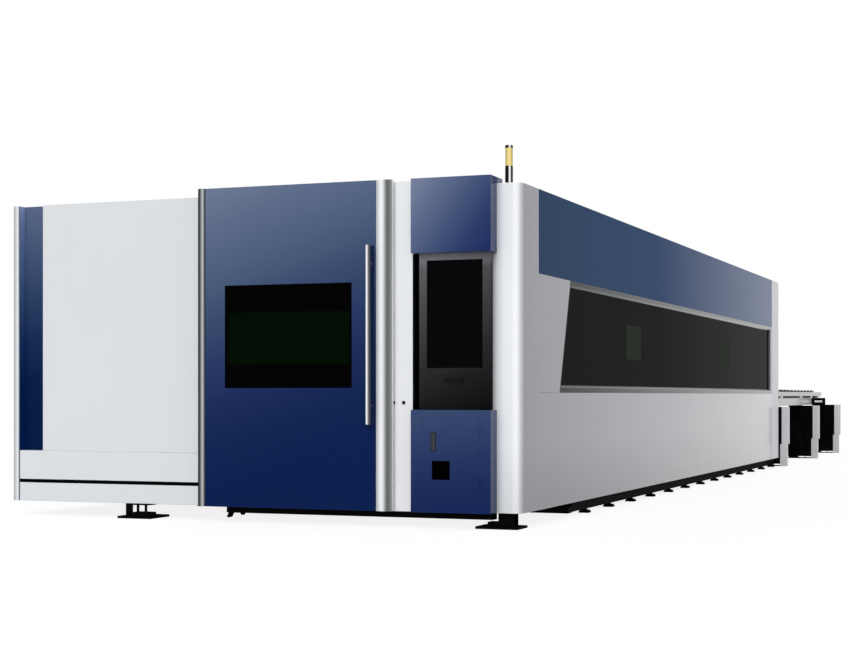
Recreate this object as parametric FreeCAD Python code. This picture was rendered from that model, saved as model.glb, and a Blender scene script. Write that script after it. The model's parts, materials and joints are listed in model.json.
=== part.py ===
import FreeCAD, Part
import math
import os

V = FreeCAD.Vector

# All sizes are millimetres. X runs across the machine, Y from the front plane to the
# exchange table, Z up from the floor. The finished solids are moved in Y at the end, so
# that the origin lies under the middle of the machine. A size whose name ends in _AT is
# a distance, or a pair of distances, inwards from the outer face of the right side wall.

# ---- enclosure ----
ENC_WIDTH = 4160.0          # over the two side walls
ENC_TOP = 2404.0            # top of the walls and of the corner column
PANEL_Z = 112.0             # underside of the wall panels
WALL = 40.0                 # thickness of the cassette wall panels
SILL_Z = 950.0              # top of the lower side wall
BAND_Z = 1800.0             # underside of the blue side band
REAR_COLUMN = 520.0         # length of the rear end columns
ROOF = 30.0                 # thickness of the roof sheets
ROOF_BAYS = 5
ROOF_SEAM = 3.0             # joint between two roof sheets

# ---- front-right corner column ----
CORNER_W = 212.0            # its inner edge
CORNER_DEPTH = 400.0        # back to the side wall
CORNER_R = 68.0             # rounded outer edge

# ---- right side window ----
WIN_FOOT_Y = 919.0          # front end of the frame at the sill
WIN_HEAD_Y = 1209.0         # front end of the frame at the band
WIN_END_BAR = 139.0         # frame bar at the rear end
WIN_BAR_LOW = 57.0
WIN_BAR_HIGH = 49.0
WIN_EDGE = 32.0             # slim slanted bar at the front end
WIN_BEVEL = 18.0            # chamfer round the glass
GLASS = 8.0
GLASS_SET_BACK = 22.0       # from the outer face of the wall to the glass
GLASS_SPLIT_Y = 2250.0      # joint between the two panes
GLASS_SEAM = 2.0
VIEW_Y = (3016.0, 7103.0)   # front edges of the two green viewing windows
VIEW_LENGTH = 556.0
VIEW_Z = 1241.0
VIEW_HEIGHT = 297.0

# ---- undercarriage ----
RAIL_AT = 30.0              # outer face of the black base rails
RAIL_W = 160.0
RAIL_Z = 35.0
TUBE = 8.0                  # wall of the black steel tubes
RAIL_FRONT_Y = 1350.0
CROSS_BAR = 100.0           # width of the bar across the front ends of the rails
CROSS_BAR_OVER = 150.0      # bar beyond the inner face of the rail
CROSS_BAR_Z = (30.0, 80.0)
BEAM_START_AT = 2290.0      # left end of the beam below the doorway
BEAM_STRAP = 5.0            # flat strap from there to the sill
LUG_AT = (2302.0, 2190.0)   # leaning lug and small stop under that end
LUG = 34.0
FOOT_FIRST_Y = 1822.0
FOOT_LAST_IN = 216.0        # last foot to the rear plane
FOOT_COUNT = 13
FOOT = 80.0                 # square levelling shoes
FOOT_AT = 60.0              # shoe centre, below the outer half of the rail
FOOT_SHOE = 24.0
FOOT_STUD_R = 14.0
FRONT_BEAM_Z = 64.0         # underside of the beam below the doorway
FRONT_BEAM_DEPTH = 100.0
SILL_BEAM = 120.0           # square tube behind the lower front panel
PLATE = 18.0                # anchor plate thickness
RIGHT_PLATE_AT = (337.0, 27.0)
RIGHT_PLATE_Y = (-10.0, 220.0)
LEFT_PLATE_X = (-1119.0, -836.0)
LEFT_PLATE_Y = (-40.0, 250.0)
ANCHOR_R = 9.0              # anchor bolt holes in both plates
ANCHOR_EDGE = 24.0          # hole centre to plate edge
STEM_AT = (190.0, 75.0)     # square post on the right plate
STEM_Y = (60.0, 160.0)
LEFT_POST_X = -1062.0       # square post on the left plate
LEFT_POST = 40.0
LEFT_POST_Y = 40.0
JACK_X = (-1020.0, -870.0)  # screw jack beside it
JACK_Y = (0.0, 110.0)
JACK_BLOCK = 28.0
JACK_RODS = (-996.0, -927.0)
JACK_ROD_R = 12.0
JACK_CAP = 12.0

# ---- front, left of the door ----
TRIM_WIDTH = 58.0
TRIM_PROUD = 12.0           # trim column in front of the front plane
TRIM_R = 20.0
RECESS_WIDTH = 206.0        # blue strip beside the trim
RECESS = 65.0               # its depth behind the front plane
STRIP = 20.0
SPLIT_Z = 503.0             # joint between lower and raised panel
LOWER_PANEL = 60.0
RAISED_PANEL = 40.0
RAISED_R = 12.0
GROOVE_Z = (255.0, 281.0)   # lower guide groove of the sliding door
GROOVE = 44.0
LINER = 4.0

# ---- doorway and sliding door ----
DOORWAY_AT = (2420.0, 970.0)
DOORWAY_TOP = 2300.0
LEAF_AT = (2402.0, 1045.0)
PROFILE_LEFT = 65.0         # silver profile on the leading edge
PROFILE_RIGHT = 123.0       # silver profile on the closing edge
DOOR_Z = (114.0, 2451.0)
DOOR_FACE = -120.0
DOOR_THICK = 54.0
PROFILE_BULGE = 15.0        # how far the profiles stand in front of the leaf
PANE_AT = (2241.0, 1228.0)
PANE_Z = (984.0, 1733.0)
PANE = 10.0
GREEN_AT = (2217.0, 1245.0)
GREEN_Z = (1155.0, 1535.0)
GREEN_R = 24.0
HANDLE_AT = 1076.0
HANDLE_R = 19.0
HANDLE_OFF = 55.0           # bar axis to leaf face
HANDLE_Z = (724.0, 1990.0)
HANDLE_POST_R = 11.0
HANDLE_POST_IN = 130.0      # post to end of the bar
STRIP_AT = (1083.0, 1053.0) # dark strip behind the bar
STRIP_THICK = 3.0

# ---- door track behind the front panels ----
TRACK_FRONT = 40.0
TRACK_DEPTH = 40.0
TRACK_H = 66.0
TRACK_DROP = 8.0            # top of the track below the top of the walls
TRACK_RAIL = 25.0           # thickness of the bar that carries the hangers
TRACK_NECK = 30.0           # height of that bar above its foot
HANGER_WIDTH = 110.0
HANGER_IN = 60.0            # from the leaf's edge to the hanger
HANGER_ARM_Z = 2412.0
HANGER_WALL = 8.0
RUN = 0.3                   # running clearance of guided pieces

# ---- white column with the push buttons ----
COLUMN_FACE = -60.0
COLUMN_BACK = 60.0
COLUMN_TOP = 2440.0
BUTTON_AT = (928.0, 851.0)
BUTTON_Z = 880.0
BUTTON_R = 12.0
BUTTON_CAP = 7.0
BUTTON_TRAVEL = 4.0
BUTTON_STEM_R = 7.0         # over the corners of the hexagonal stem
BUTTON_STEM = 22.0

# ---- operator console ----
CONSOLE_AT = (772.0, 181.0)
CONSOLE_FACE = -135.0
CONSOLE_BACK = 400.0
HOOD_Z = (1924.0, 2448.0)
HOOD_BACK = 127.0
NICHE_Y = 15.0              # black back of the niche
NICHE_PLATE = 10.0
CABINET_TOP = 829.0
CABINET_Z = 114.0
SHEET = 15.0                # walls of the console and cabinet
BEZEL_AT = (740.0, 212.0)
BEZEL_FACE = -50.0
BEZEL_WALL = 20.0
SCREEN_AT = (683.0, 269.0)
SCREEN_Z = (1122.0, 1877.0)
SCREEN = 16.0
SCREEN_SET_BACK = 4.0
DRAWER_AT = (692.0, 274.0)
DRAWER_Z = (866.0, 1068.0)
DRAWER_GAP = 0.8
DRAWER_FRONT = 14.0
TRAY_HEIGHT = 60.0
TRAY_WALL = 6.0
RUNNER = 16.0
RUNNER_END = 70.0           # end of the runners to the back of the console
PULL_AT = (546.0, 405.0)
PULL_Z = 1043.0
PULL_R = 5.0                # half the thickness of its grip
PULL_OFF = 30.0
PULL_BOW = 6.0
DRAWER_TRAVEL = 230.0
TRAY_HELD = 40.0            # tray still on its runners when fully out

# ---- lower cabinet door ----
CDOOR_AT = (680.0, 260.0)
CDOOR_Z = (218.0, 785.0)
CDOOR_GAP = 0.8
CDOOR = 20.0
KNUCKLE_R = 5.0
KNUCKLE = 30.0
KNUCKLE_Z = (290.0, 680.0)
PIN_R = 2.5
PIN_GAP = 0.05
DISH_AT = (622.0, 583.0)    # sunk dish of the swing lever
DISH_Z = (543.0, 675.0)
DISH = 12.0
LEVER_SIDE = 4.0
LEVER = 8.0
LEVER_PROUD = 2.0
LEVER_PIVOT_IN = 7.0        # pivot below the top of the dish
LEVER_PIN_R = 2.5
VENT_AT = (610.0, 480.0)
VENT_Z = (345.0, 475.0)
VENT = 4.0
VENT_SLOTS = 7
VENT_SLOT = 7.0

# ---- signal lamp ----
LAMP_AT = 125.0
LAMP_Y = 100.0
LAMP_R = 27.5
LAMP_BASE = 128.0
LAMP_LENS = 126.0
LAMP_CAP = 20.0

# ---- machine bed and gantry ----
BED_FRONT_Y = 2600.0
BED_REAR_IN = 790.0         # rear end of the bed and pallet to the rear plane
BED_TOP = 1000.0
LEDGE_IN_AT = 316.0         # inner face of bed beams and of the table's rails
LEDGE_OUT_AT = 168.0        # step up to the gantry rail
LEDGE_Z = 888.0             # running level of the upper pallet
BED_TIES = 5
TIE = 160.0
TIE_HEIGHT = 300.0
YRAIL_AT = 90.0
YRAIL_W = 34.0
YRAIL_H = 32.0
YRAIL_END = 50.0
RACK_AT = (162.0, 132.0)
RACK_H = 30.0
BLOCK_W = 68.0
BLOCK_L = 150.0
BLOCK_H = 60.0
BLOCK_PITCH = 340.0
SADDLE_AT = (162.0, 52.0)
SADDLE_L = 520.0
SADDLE = 30.0
BEAM_BEFORE = 350.0         # gantry at rest, this far in front of the pallet
BEAM_W = 320.0
BEAM_H = 300.0
BEAM_WALL = 12.0
GEARBOX = 90.0
GEARBOX_GAP = 6.0
SERVO_W = 80.0              # square body of the drive motors
SERVO_L = 150.0
XRAIL = 26.0
XRAIL_IN = 50.0             # rail axis to the edge of the beam
CARRIAGE_W = 360.0
CARRIAGE = 25.0
ZRAIL = 20.0
ZRAIL_PITCH = 200.0
ZSLIDE_W = 260.0
ZSLIDE = 20.0
ZSLIDE_H = 360.0
HEAD_R = 55.0
HEAD_H = 330.0
NOZZLE_R = 12.0
NOZZLE_Z = 1075.0           # tip at rest

# ---- pallets and exchange table ----
PALLET_IN_Y = 4150.0        # front end of the pallet in the cell
PALLET_LENGTH = 6050.0
PALLET_OUT = 140.0          # bed to the front end of the pallet on the table
UP_RAIL_AT = (280.0, 175.0)
SIDE_RAIL_H = 61.0          # height of the pallets' side rails
SHOE_H = 30.0               # side rail above the level it runs on
SLAT_PROUD = 33.0           # slat tips above the pallet's side rail
SLAT_H = 100.0
SLAT = 5.0
SLAT_COUNT = 36
BEARER = 14.0
BEARER_H = 36.0
BEARER_X = 900.0
END_STEP = 60.0             # end member narrows below the side rails
SHOE_L = 260.0
SHOE_IN = 12.0              # shoe inside the faces of its rail
SHOES = 4
LOW_RAIL_AT = (425.0, 324.0)
PALLET_DROP = 142.0         # upper to lower running level
LOW_TRACK_AT = 415.0
TRACK_BEFORE = 150.0        # lower tracks in front of the pallet
LOW_TRACK_H = 30.0
TABLE_OVER = 60.0           # table beyond the end of the pallet
TABLE_RAIL_AT = 124.0
TABLE_RAIL_Z = 784.0
TABLE_WALL = 10.0
POST_L = 92.0
TRESTLE_FIRST = 40.0        # first trestle behind the rear plane
TRESTLE_PITCH = 2870.0
TRESTLE = 60.0
TRESTLE_Z = 30.0
TRESTLE_MID_Z = 560.0
POST_OUT = 35.0             # side wall's plane to the posts
POST_W = 90.0
POST_TOP = 778.0
POST_STEP_Z = 290.0
POST_STEP = 20.0
SOLE = 12.0                 # floor plate under each trestle
PAD = 130.0
PAD_AT = (1660.0, 790.0, 250.0)
LOOP_REAR_IN = 1525.0       # hollow lifting loop on each side to the end of the table
LOOP_W = 200.0
LOOP_L = 60.0
LOOP_WALL = 38.0

# ---- cell bulkhead, lift door and portal ----
BULKHEAD = 30.0
BULKHEAD_Z = 1250.0
LIFT_Y = 10.0               # bulkhead to lift door
LIFT_THICK = 30.0
LIFT_AT = 150.0
LIFT_Z = (1230.0, 1780.0)
GUIDE_AT = (166.0, 124.0)
GUIDE_TOP = 2180.0
GUIDE_GAP = 0.5
PORTAL_AT = 120.0
PORTAL_SILL_Z = 560.0

# ---- equipment in the front of the cell ----
EQUIPMENT_Y = (1850.0, 2550.0)
ELECTRIC_W = 910.0
ELECTRIC_TOP = 1960.0
LASER_W = 600.0
LASER_TOP = 1180.0
PLINTH = 60.0
GRILLE_SLOTS = 8
DUCT_X = 900.0
DUCT_REAR_IN = 1290.0       # collar axis to the rear plane
DUCT_R = 160.0
DUCT_WALL = 4.0
DUCT_H = 140.0
DRIVE_REAR_IN = 1150.0      # gear unit to the end of the table
DRIVE_W = 220.0
DRIVE_L = 460.0
DRIVE_R = 62.0
DRIVE_Z = 420.0

# ---- derived ----
BED_Y = (BED_FRONT_Y, PALLET_IN_Y + PALLET_LENGTH)
ENC_LENGTH = BED_Y[1] + BED_REAR_IN
TRACK_Y = (TRACK_FRONT, TRACK_FRONT + TRACK_DEPTH)
TRACK_Z = (ENC_TOP - TRACK_DROP - TRACK_H, ENC_TOP - TRACK_DROP)
HALF = ENC_WIDTH / 2


def in_from_wall(*distances):
    return tuple(HALF - d for d in distances)


CORNER_X0 = HALF - CORNER_W
DOORWAY = in_from_wall(*DOORWAY_AT)
LEAF_X = in_from_wall(*LEAF_AT)
PANE_X = in_from_wall(*PANE_AT)
GREEN_X = in_from_wall(*GREEN_AT)
HANDLE_X = HALF - HANDLE_AT
STRIP_X = in_from_wall(*STRIP_AT)
BUTTON_X = in_from_wall(*BUTTON_AT)
CONSOLE_X = in_from_wall(*CONSOLE_AT)
BEZEL_X = in_from_wall(*BEZEL_AT)
SCREEN_X = in_from_wall(*SCREEN_AT)
DRAWER_X = in_from_wall(*DRAWER_AT)
PULL_X = in_from_wall(*PULL_AT)
CDOOR_X = in_from_wall(*CDOOR_AT)
DISH_X = in_from_wall(*DISH_AT)
VENT_X = in_from_wall(*VENT_AT)
LAMP_X = HALF - LAMP_AT
LEDGE_IN = HALF - LEDGE_IN_AT
LEDGE_OUT = HALF - LEDGE_OUT_AT
YRAIL_X = HALF - YRAIL_AT
RACK_X = in_from_wall(*RACK_AT)
SADDLE_X = in_from_wall(*SADDLE_AT)
UP_RAIL = in_from_wall(*UP_RAIL_AT)
LOW_RAIL = in_from_wall(*LOW_RAIL_AT)
LOW_TRACK_IN = HALF - LOW_TRACK_AT
TABLE_RAIL_X = HALF - TABLE_RAIL_AT
LIFT_X = HALF - LIFT_AT
GUIDE_X = in_from_wall(*GUIDE_AT)
PORTAL_X = HALF - PORTAL_AT
RAIL_OUT = HALF - RAIL_AT
RAIL_IN = RAIL_OUT - RAIL_W
CROSS_BAR_X = RAIL_IN - CROSS_BAR_OVER
RIGHT_PLATE = in_from_wall(*RIGHT_PLATE_AT) + RIGHT_PLATE_Y
LEFT_PLATE = LEFT_PLATE_X + LEFT_PLATE_Y
POST_X = (HALF + POST_OUT, HALF + POST_OUT + POST_W)
UP_RAIL_Z = (LEDGE_Z + SHOE_H, LEDGE_Z + SHOE_H + SIDE_RAIL_H)
LOW_TRACK_Z = (LEDGE_Z - PALLET_DROP - LOW_TRACK_H, LEDGE_Z - PALLET_DROP)
LOW_RAIL_Z = (LOW_TRACK_Z[1] + SHOE_H, LOW_TRACK_Z[1] + SHOE_H + SIDE_RAIL_H)
ELECTRIC = (-RAIL_IN, ELECTRIC_W - RAIL_IN, ELECTRIC_TOP)
LASER = (ELECTRIC[1], ELECTRIC[1] + LASER_W, LASER_TOP)
FOOT_X = HALF - FOOT_AT
STEM_X = in_from_wall(*STEM_AT)
LUG_X = in_from_wall(*LUG_AT)
BEAM_START = HALF - BEAM_START_AT
HALF_IN = HALF - WALL
SIDE_END = ENC_LENGTH - REAR_COLUMN
DOOR_BACK = DOOR_FACE + DOOR_THICK
HANDLE_Y = DOOR_FACE - HANDLE_OFF
TRIM_X0 = -HALF
TRIM_X1 = TRIM_X0 + TRIM_WIDTH
STRIP_X1 = TRIM_X1 + RECESS_WIDTH
PALLET_OUT_Y = BED_Y[1] + PALLET_OUT
TABLE_END = PALLET_OUT_Y + PALLET_LENGTH + TABLE_OVER
TRESTLE_Y = (ENC_LENGTH + TRESTLE_FIRST, ENC_LENGTH + TRESTLE_FIRST + TRESTLE_PITCH, TABLE_END - POST_L)
DUCT_Y = ENC_LENGTH - DUCT_REAR_IN
DRIVE_Y = TABLE_END - DRIVE_REAR_IN
LOOP_Y = TABLE_END - LOOP_REAR_IN
BEAM_Y = PALLET_IN_Y - BEAM_BEFORE
BEAM_Z = BED_TOP + BLOCK_H + SADDLE
BEAM_FRONT = BEAM_Y + BEAM_W / 2
CENTRE_Y = (HANDLE_Y - HANDLE_R + TABLE_END) / 2
TRAY_DEPTH = DRAWER_TRAVEL + TRAY_HELD


def box(x0, x1, y0, y1, z0, z1):
    return Part.makeBox(x1 - x0, y1 - y0, z1 - z0, V(x0, y0, z0))


def cyl(r, length, base, axis=V(0, 0, 1)):
    return Part.makeCylinder(r, length, base, axis)


def face(points):
    return Part.Face(Part.makePolygon(points + [points[0]]))


def prism_x(profile, x0, x1):
    return face([V(x0, y, z) for y, z in profile]).extrude(V(x1 - x0, 0, 0))


def prism_y(profile, y0, y1):
    return face([V(x, y0, z) for x, z in profile]).extrude(V(0, y1 - y0, 0))


def prism_z(profile, z0, z1):
    return face([V(x, y, z0) for x, y in profile]).extrude(V(0, 0, z1 - z0))


def flip(shape):
    return shape.mirror(V(0, 0, 0), V(1, 0, 0))


def pair(*shapes):
    return list(shapes) + [flip(s) for s in shapes]


def tube_x(x0, x1, y0, y1, z0, z1, wall):
    hole = box(x0, x1, y0 + wall, y1 - wall, z0 + wall, z1 - wall)
    return box(x0, x1, y0, y1, z0, z1).cut(hole)


def tube_y(x0, x1, y0, y1, z0, z1, wall):
    hole = box(x0 + wall, x1 - wall, y0, y1, z0 + wall, z1 - wall)
    return box(x0, x1, y0, y1, z0, z1).cut(hole)


def ngon(sides, r, x, y, z0, z1):
    turns = [2 * math.pi * i / sides for i in range(sides)]
    return prism_z([(x + r * math.cos(t), y + r * math.sin(t)) for t in turns], z0, z1)


def stem_y(sides, r, x, y0, y1, z):
    turns = [2 * math.pi * i / sides for i in range(sides)]
    return prism_y([(x + r * math.cos(t), z + r * math.sin(t)) for t in turns], y0, y1)


def steps(first, last, count):
    return [first + (last - first) * i / (count - 1) for i in range(count)]


def fillet_at(shape, radius, wanted):
    edges = [e for e in shape.Edges if wanted(e.CenterOfMass, e)]
    return shape.makeFillet(radius, edges)


def upright(edge):
    ends = [v.Point for v in edge.Vertexes]
    return len(ends) == 2 and abs(ends[0].z - ends[1].z) > 1.0 and abs(ends[0].x - ends[1].x) < 0.01


def save(name, shapes):
    solids = [s for shape in shapes for s in shape.Solids]
    shape = solids[0] if len(solids) == 1 else Part.makeCompound(solids)
    shape = shape.copy()
    shape.translate(V(0, -CENTRE_Y, 0))
    shape.exportStep("parts/" + name + ".step")


# ---------------------------------------------------------------- undercarriage
def base_frame():
    rail = tube_y(RAIL_IN, RAIL_OUT, RAIL_FRONT_Y, ENC_LENGTH - WALL, RAIL_Z, PANEL_Z, TUBE)
    bar = box(CROSS_BAR_X, RAIL_OUT, RAIL_FRONT_Y - CROSS_BAR, RAIL_FRONT_Y, *CROSS_BAR_Z)
    beam = tube_x(BEAM_START, CORNER_X0, 0, FRONT_BEAM_DEPTH, FRONT_BEAM_Z, PANEL_Z, TUBE)
    strap = box(DOORWAY[0] - SILL_BEAM, BEAM_START, 0, FRONT_BEAM_DEPTH, PANEL_Z - BEAM_STRAP, PANEL_Z)
    sill = tube_x(STRIP_X1 + STRIP, DOORWAY[0], LOWER_PANEL, LOWER_PANEL + SILL_BEAM, PANEL_Z,
                  PANEL_Z + SILL_BEAM, TUBE)
    return pair(rail, bar) + [beam.fuse(strap).fuse(beam_lugs()), sill]


def beam_lugs():
    x, z = LUG_X[0], FRONT_BEAM_Z
    leaning = [(x + LUG / 2, z), (x + 1.5 * LUG, z), (x + LUG, z - LUG), (x + LUG / 2, z - LUG - 4),
               (x, z - LUG)]
    x = LUG_X[1]
    stop = [(x, z), (x + LUG, z), (x + LUG * 0.7, z - LUG / 2), (x + LUG * 0.3, z - LUG / 2)]
    return [prism_y(leaning, 20, 20 + LUG), prism_y(stop, 20, 20 + LUG)]


def levelling_feet():
    feet = []
    for y in steps(FOOT_FIRST_Y, ENC_LENGTH - FOOT_LAST_IN, FOOT_COUNT):
        shoe = box(FOOT_X - FOOT / 2, FOOT_X + FOOT / 2, y - FOOT / 2, y + FOOT / 2, 0, FOOT_SHOE)
        stud = ngon(6, FOOT_STUD_R, FOOT_X, y, FOOT_SHOE, RAIL_Z)
        feet += pair(shoe.fuse(stud))
    return feet


def anchor_plate(x0, x1, y0, y1):
    plate = box(x0, x1, y0, y1, 0, PLATE)
    for x in (x0 + ANCHOR_EDGE, x1 - ANCHOR_EDGE):
        for y in (y0 + ANCHOR_EDGE, y1 - ANCHOR_EDGE):
            plate = plate.cut(cyl(ANCHOR_R, PLATE, V(x, y, 0)))
    return plate


def right_foot():
    x0, x1 = STEM_X
    stem = tube_x(x0, x1, STEM_Y[0], STEM_Y[1], PLATE, PANEL_Z, TUBE)
    block = box(x0 - FOOT, x0, STEM_Y[0], STEM_Y[1], PLATE, PLATE + JACK_BLOCK)
    return anchor_plate(*RIGHT_PLATE).fuse([stem, block])


def left_foot():
    half = LEFT_POST / 2
    post = box(LEFT_POST_X - half, LEFT_POST_X + half, LEFT_POST_Y - half, LEFT_POST_Y + half, PLATE, PANEL_Z)
    block = box(*JACK_X, *JACK_Y, PLATE, PLATE + JACK_BLOCK)
    cap = box(*JACK_X, *JACK_Y, PANEL_Z - JACK_CAP, PANEL_Z)
    mid = sum(JACK_Y) / 2
    rods = [ngon(6, JACK_ROD_R, x, mid, PLATE, PANEL_Z) for x in JACK_RODS]
    return anchor_plate(*LEFT_PLATE).fuse([post, block, cap] + rods)


def front_feet():
    return [right_foot(), left_foot()]


# ---------------------------------------------------------------- walls
def lower_side_walls():
    right = box(HALF_IN, HALF, CORNER_DEPTH, SIDE_END, PANEL_Z, SILL_Z)
    left = box(-HALF, -HALF_IN, RECESS + STRIP, SIDE_END, PANEL_Z, SILL_Z)
    return [right, left]


def upper_side_infills():
    wedge = [(CORNER_DEPTH, SILL_Z), (WIN_FOOT_Y, SILL_Z), (WIN_HEAD_Y, BAND_Z), (CORNER_DEPTH, BAND_Z)]
    right = prism_x(wedge, HALF_IN, HALF)
    left = box(-HALF, -HALF_IN, RECESS + STRIP, SIDE_END, SILL_Z, BAND_Z)
    return [right, left]


def slant(z):
    return WIN_FOOT_Y + (WIN_HEAD_Y - WIN_FOOT_Y) * (z - SILL_Z) / (BAND_Z - SILL_Z)


def glass_outline():
    low = SILL_Z + WIN_BAR_LOW
    high = BAND_Z - WIN_BAR_HIGH
    end = SIDE_END - WIN_END_BAR
    return [(slant(low) + WIN_EDGE, low), (end, low), (end, high), (slant(high) + WIN_EDGE, high)]


def side_window_frame():
    outer = [(WIN_FOOT_Y, SILL_Z), (SIDE_END, SILL_Z), (SIDE_END, BAND_Z), (WIN_HEAD_Y, BAND_Z)]
    frame = prism_x(outer, HALF_IN, HALF).cut(prism_x(glass_outline(), HALF_IN, HALF))
    edges = [e for e in frame.Edges if abs(e.CenterOfMass.x - HALF) < 0.1 and not on_outline(e, outer)]
    return [frame.makeChamfer(WIN_BEVEL, edges)]


def on_outline(edge, outline):
    mid = edge.CenterOfMass
    for (y0, z0), (y1, z1) in zip(outline, outline[1:] + outline[:1]):
        if abs(mid.y - (y0 + y1) / 2) < 1 and abs(mid.z - (z0 + z1) / 2) < 1:
            return True
    return False


def glass_x():
    return HALF - GLASS_SET_BACK


def view_boxes(x0, x1):
    return [box(x0, x1, y, y + VIEW_LENGTH, VIEW_Z, VIEW_Z + VIEW_HEIGHT) for y in VIEW_Y]


def side_glass():
    x1 = glass_x()
    pane = prism_x(glass_outline(), x1 - GLASS, x1)
    pane = pane.cut(box(x1 - GLASS, x1, GLASS_SPLIT_Y, GLASS_SPLIT_Y + GLASS_SEAM, 0, ENC_TOP))
    for hole in view_boxes(x1 - GLASS, x1):
        pane = pane.cut(hole)
    return [pane]


def viewing_windows():
    return view_boxes(glass_x() - GLASS, glass_x() - 2)


def side_bands():
    right = box(HALF_IN, HALF, CORNER_DEPTH, SIDE_END, BAND_Z, ENC_TOP)
    left = box(-HALF, -HALF_IN, RECESS + STRIP, SIDE_END, BAND_Z, ENC_TOP)
    return [right, left]


def corner_column():
    column = box(CORNER_X0, HALF, 0, CORNER_DEPTH, PANEL_Z, ENC_TOP)
    return [fillet_at(column, CORNER_R, lambda c, e: upright(e) and c.x > HALF - 1 and c.y < 1)]


def rear_columns():
    return pair(box(PORTAL_X, HALF, SIDE_END, ENC_LENGTH, PANEL_Z, ENC_TOP))


def rear_wall():
    y0 = ENC_LENGTH - WALL
    header = box(-PORTAL_X, PORTAL_X, y0, ENC_LENGTH, BULKHEAD_Z, ENC_TOP)
    sill = box(-PORTAL_X, PORTAL_X, y0, ENC_LENGTH, PANEL_Z, PORTAL_SILL_Z)
    return [header, sill]


def roof_panels():
    panels = []
    y0 = CORNER_DEPTH
    y1 = ENC_LENGTH - WALL
    bay = (y1 - y0) / ROOF_BAYS
    duct = cyl(DUCT_R, ROOF, V(DUCT_X, DUCT_Y, ENC_TOP - ROOF))
    for i in range(ROOF_BAYS):
        start = y0 + i * bay
        half = HALF_IN
        sheet = box(-half, half, start, start + bay - ROOF_SEAM, ENC_TOP - ROOF, ENC_TOP)
        panels.append(sheet.cut(duct))
    notch = box(PORTAL_X, HALF_IN, SIDE_END, ENC_LENGTH, 0, ENC_TOP)
    panels = [p.cut(notch).cut(flip(notch)) for p in panels]
    track_clear = TRACK_Y[1] + 50
    front = box(-HALF_IN, DOORWAY[1], track_clear, CORNER_DEPTH - ROOF_SEAM, ENC_TOP - ROOF, ENC_TOP)
    over = box(DOORWAY[1], CORNER_X0, HOOD_BACK, CORNER_DEPTH - ROOF_SEAM, ENC_TOP - ROOF, ENC_TOP)
    return panels + [front.fuse(over).removeSplitter()]


def left_trim():
    trim = box(TRIM_X0, TRIM_X1, -TRIM_PROUD, RECESS + STRIP, PANEL_Z, ENC_TOP)
    return [fillet_at(trim, TRIM_R, lambda c, e: upright(e) and c.y < 0)]


def recess_strip():
    return [box(TRIM_X1, STRIP_X1, RECESS, RECESS + STRIP, SPLIT_Z, ENC_TOP)]


def raised_panel():
    panel = box(STRIP_X1, DOORWAY[0], 0, RAISED_PANEL, SPLIT_Z, ENC_TOP)
    panel = fillet_at(panel, RAISED_R, lambda c, e: upright(e) and c.y < 1 and c.x < STRIP_X1 + 1)
    side = box(STRIP_X1, STRIP_X1 + STRIP, RAISED_PANEL, RECESS + STRIP, SPLIT_Z, ENC_TOP)
    return [panel.fuse(side)]


def front_lower_panel():
    panel = box(TRIM_X1, DOORWAY[0], 0, LOWER_PANEL, PANEL_Z, SPLIT_Z)
    groove = box(TRIM_X1, DOORWAY[0], 0, GROOVE, *GROOVE_Z)
    back = box(TRIM_X1, STRIP_X1 + STRIP, LOWER_PANEL, RECESS + STRIP, PANEL_Z, SPLIT_Z)
    return [panel.cut(groove).fuse(back)]


def door_guide():
    z0, z1 = GROOVE_Z
    profile = [(0, z0), (GROOVE, z0), (GROOVE, z1), (0, z1), (0, z1 - LINER)]
    profile += [(GROOVE - LINER, z1 - LINER), (GROOVE - LINER, z0 + LINER), (0, z0 + LINER)]
    return [prism_x(profile, TRIM_X1, DOORWAY[0])]


def door_track():
    y0, y1 = TRACK_Y
    z0, z1 = TRACK_Z
    step = z1 - TRACK_NECK
    rail = y1 - TRACK_RAIL
    profile = [(y0, z0), (y1, z0), (y1, z1), (rail, z1), (rail, step), (y0, step)]
    return [prism_x(profile, STRIP_X1 + STRIP, DOORWAY[1])]


def door_header():
    return [box(DOORWAY[0], DOORWAY[1], 0, RAISED_PANEL, DOORWAY_TOP, ENC_TOP)]


def door_column():
    column = box(DOORWAY[1], CONSOLE_X[0], COLUMN_FACE, COLUMN_BACK, PANEL_Z, COLUMN_TOP)
    column = fillet_at(column, 6, lambda c, e: upright(e) and c.y < COLUMN_FACE + 1 and c.x > DOORWAY[1] + 1)
    depth = BUTTON_STEM + BUTTON_TRAVEL
    for x in BUTTON_X:
        column = column.cut(stem_y(6, BUTTON_STEM_R + RUN, x, COLUMN_FACE, COLUMN_FACE + depth, BUTTON_Z))
    track = box(DOORWAY[1], DOORWAY[1] + 20, TRACK_Y[0], COLUMN_BACK, TRACK_Z[0], TRACK_Z[1])
    return [column.fuse(track)]


# ---------------------------------------------------------------- sliding door
def door_leaf():
    x0, x1 = LEAF_X
    leaf = box(x0, x1, DOOR_FACE, DOOR_BACK, *DOOR_Z)
    pocket = box(PANE_X[0], PANE_X[1], DOOR_FACE, DOOR_FACE + PANE, *PANE_Z)
    see = box(GREEN_X[0] + 20, GREEN_X[1] - 20, DOOR_FACE, DOOR_BACK, GREEN_Z[0] + 20, GREEN_Z[1] - 20)
    return [leaf.cut(pocket).cut(see)]


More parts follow.
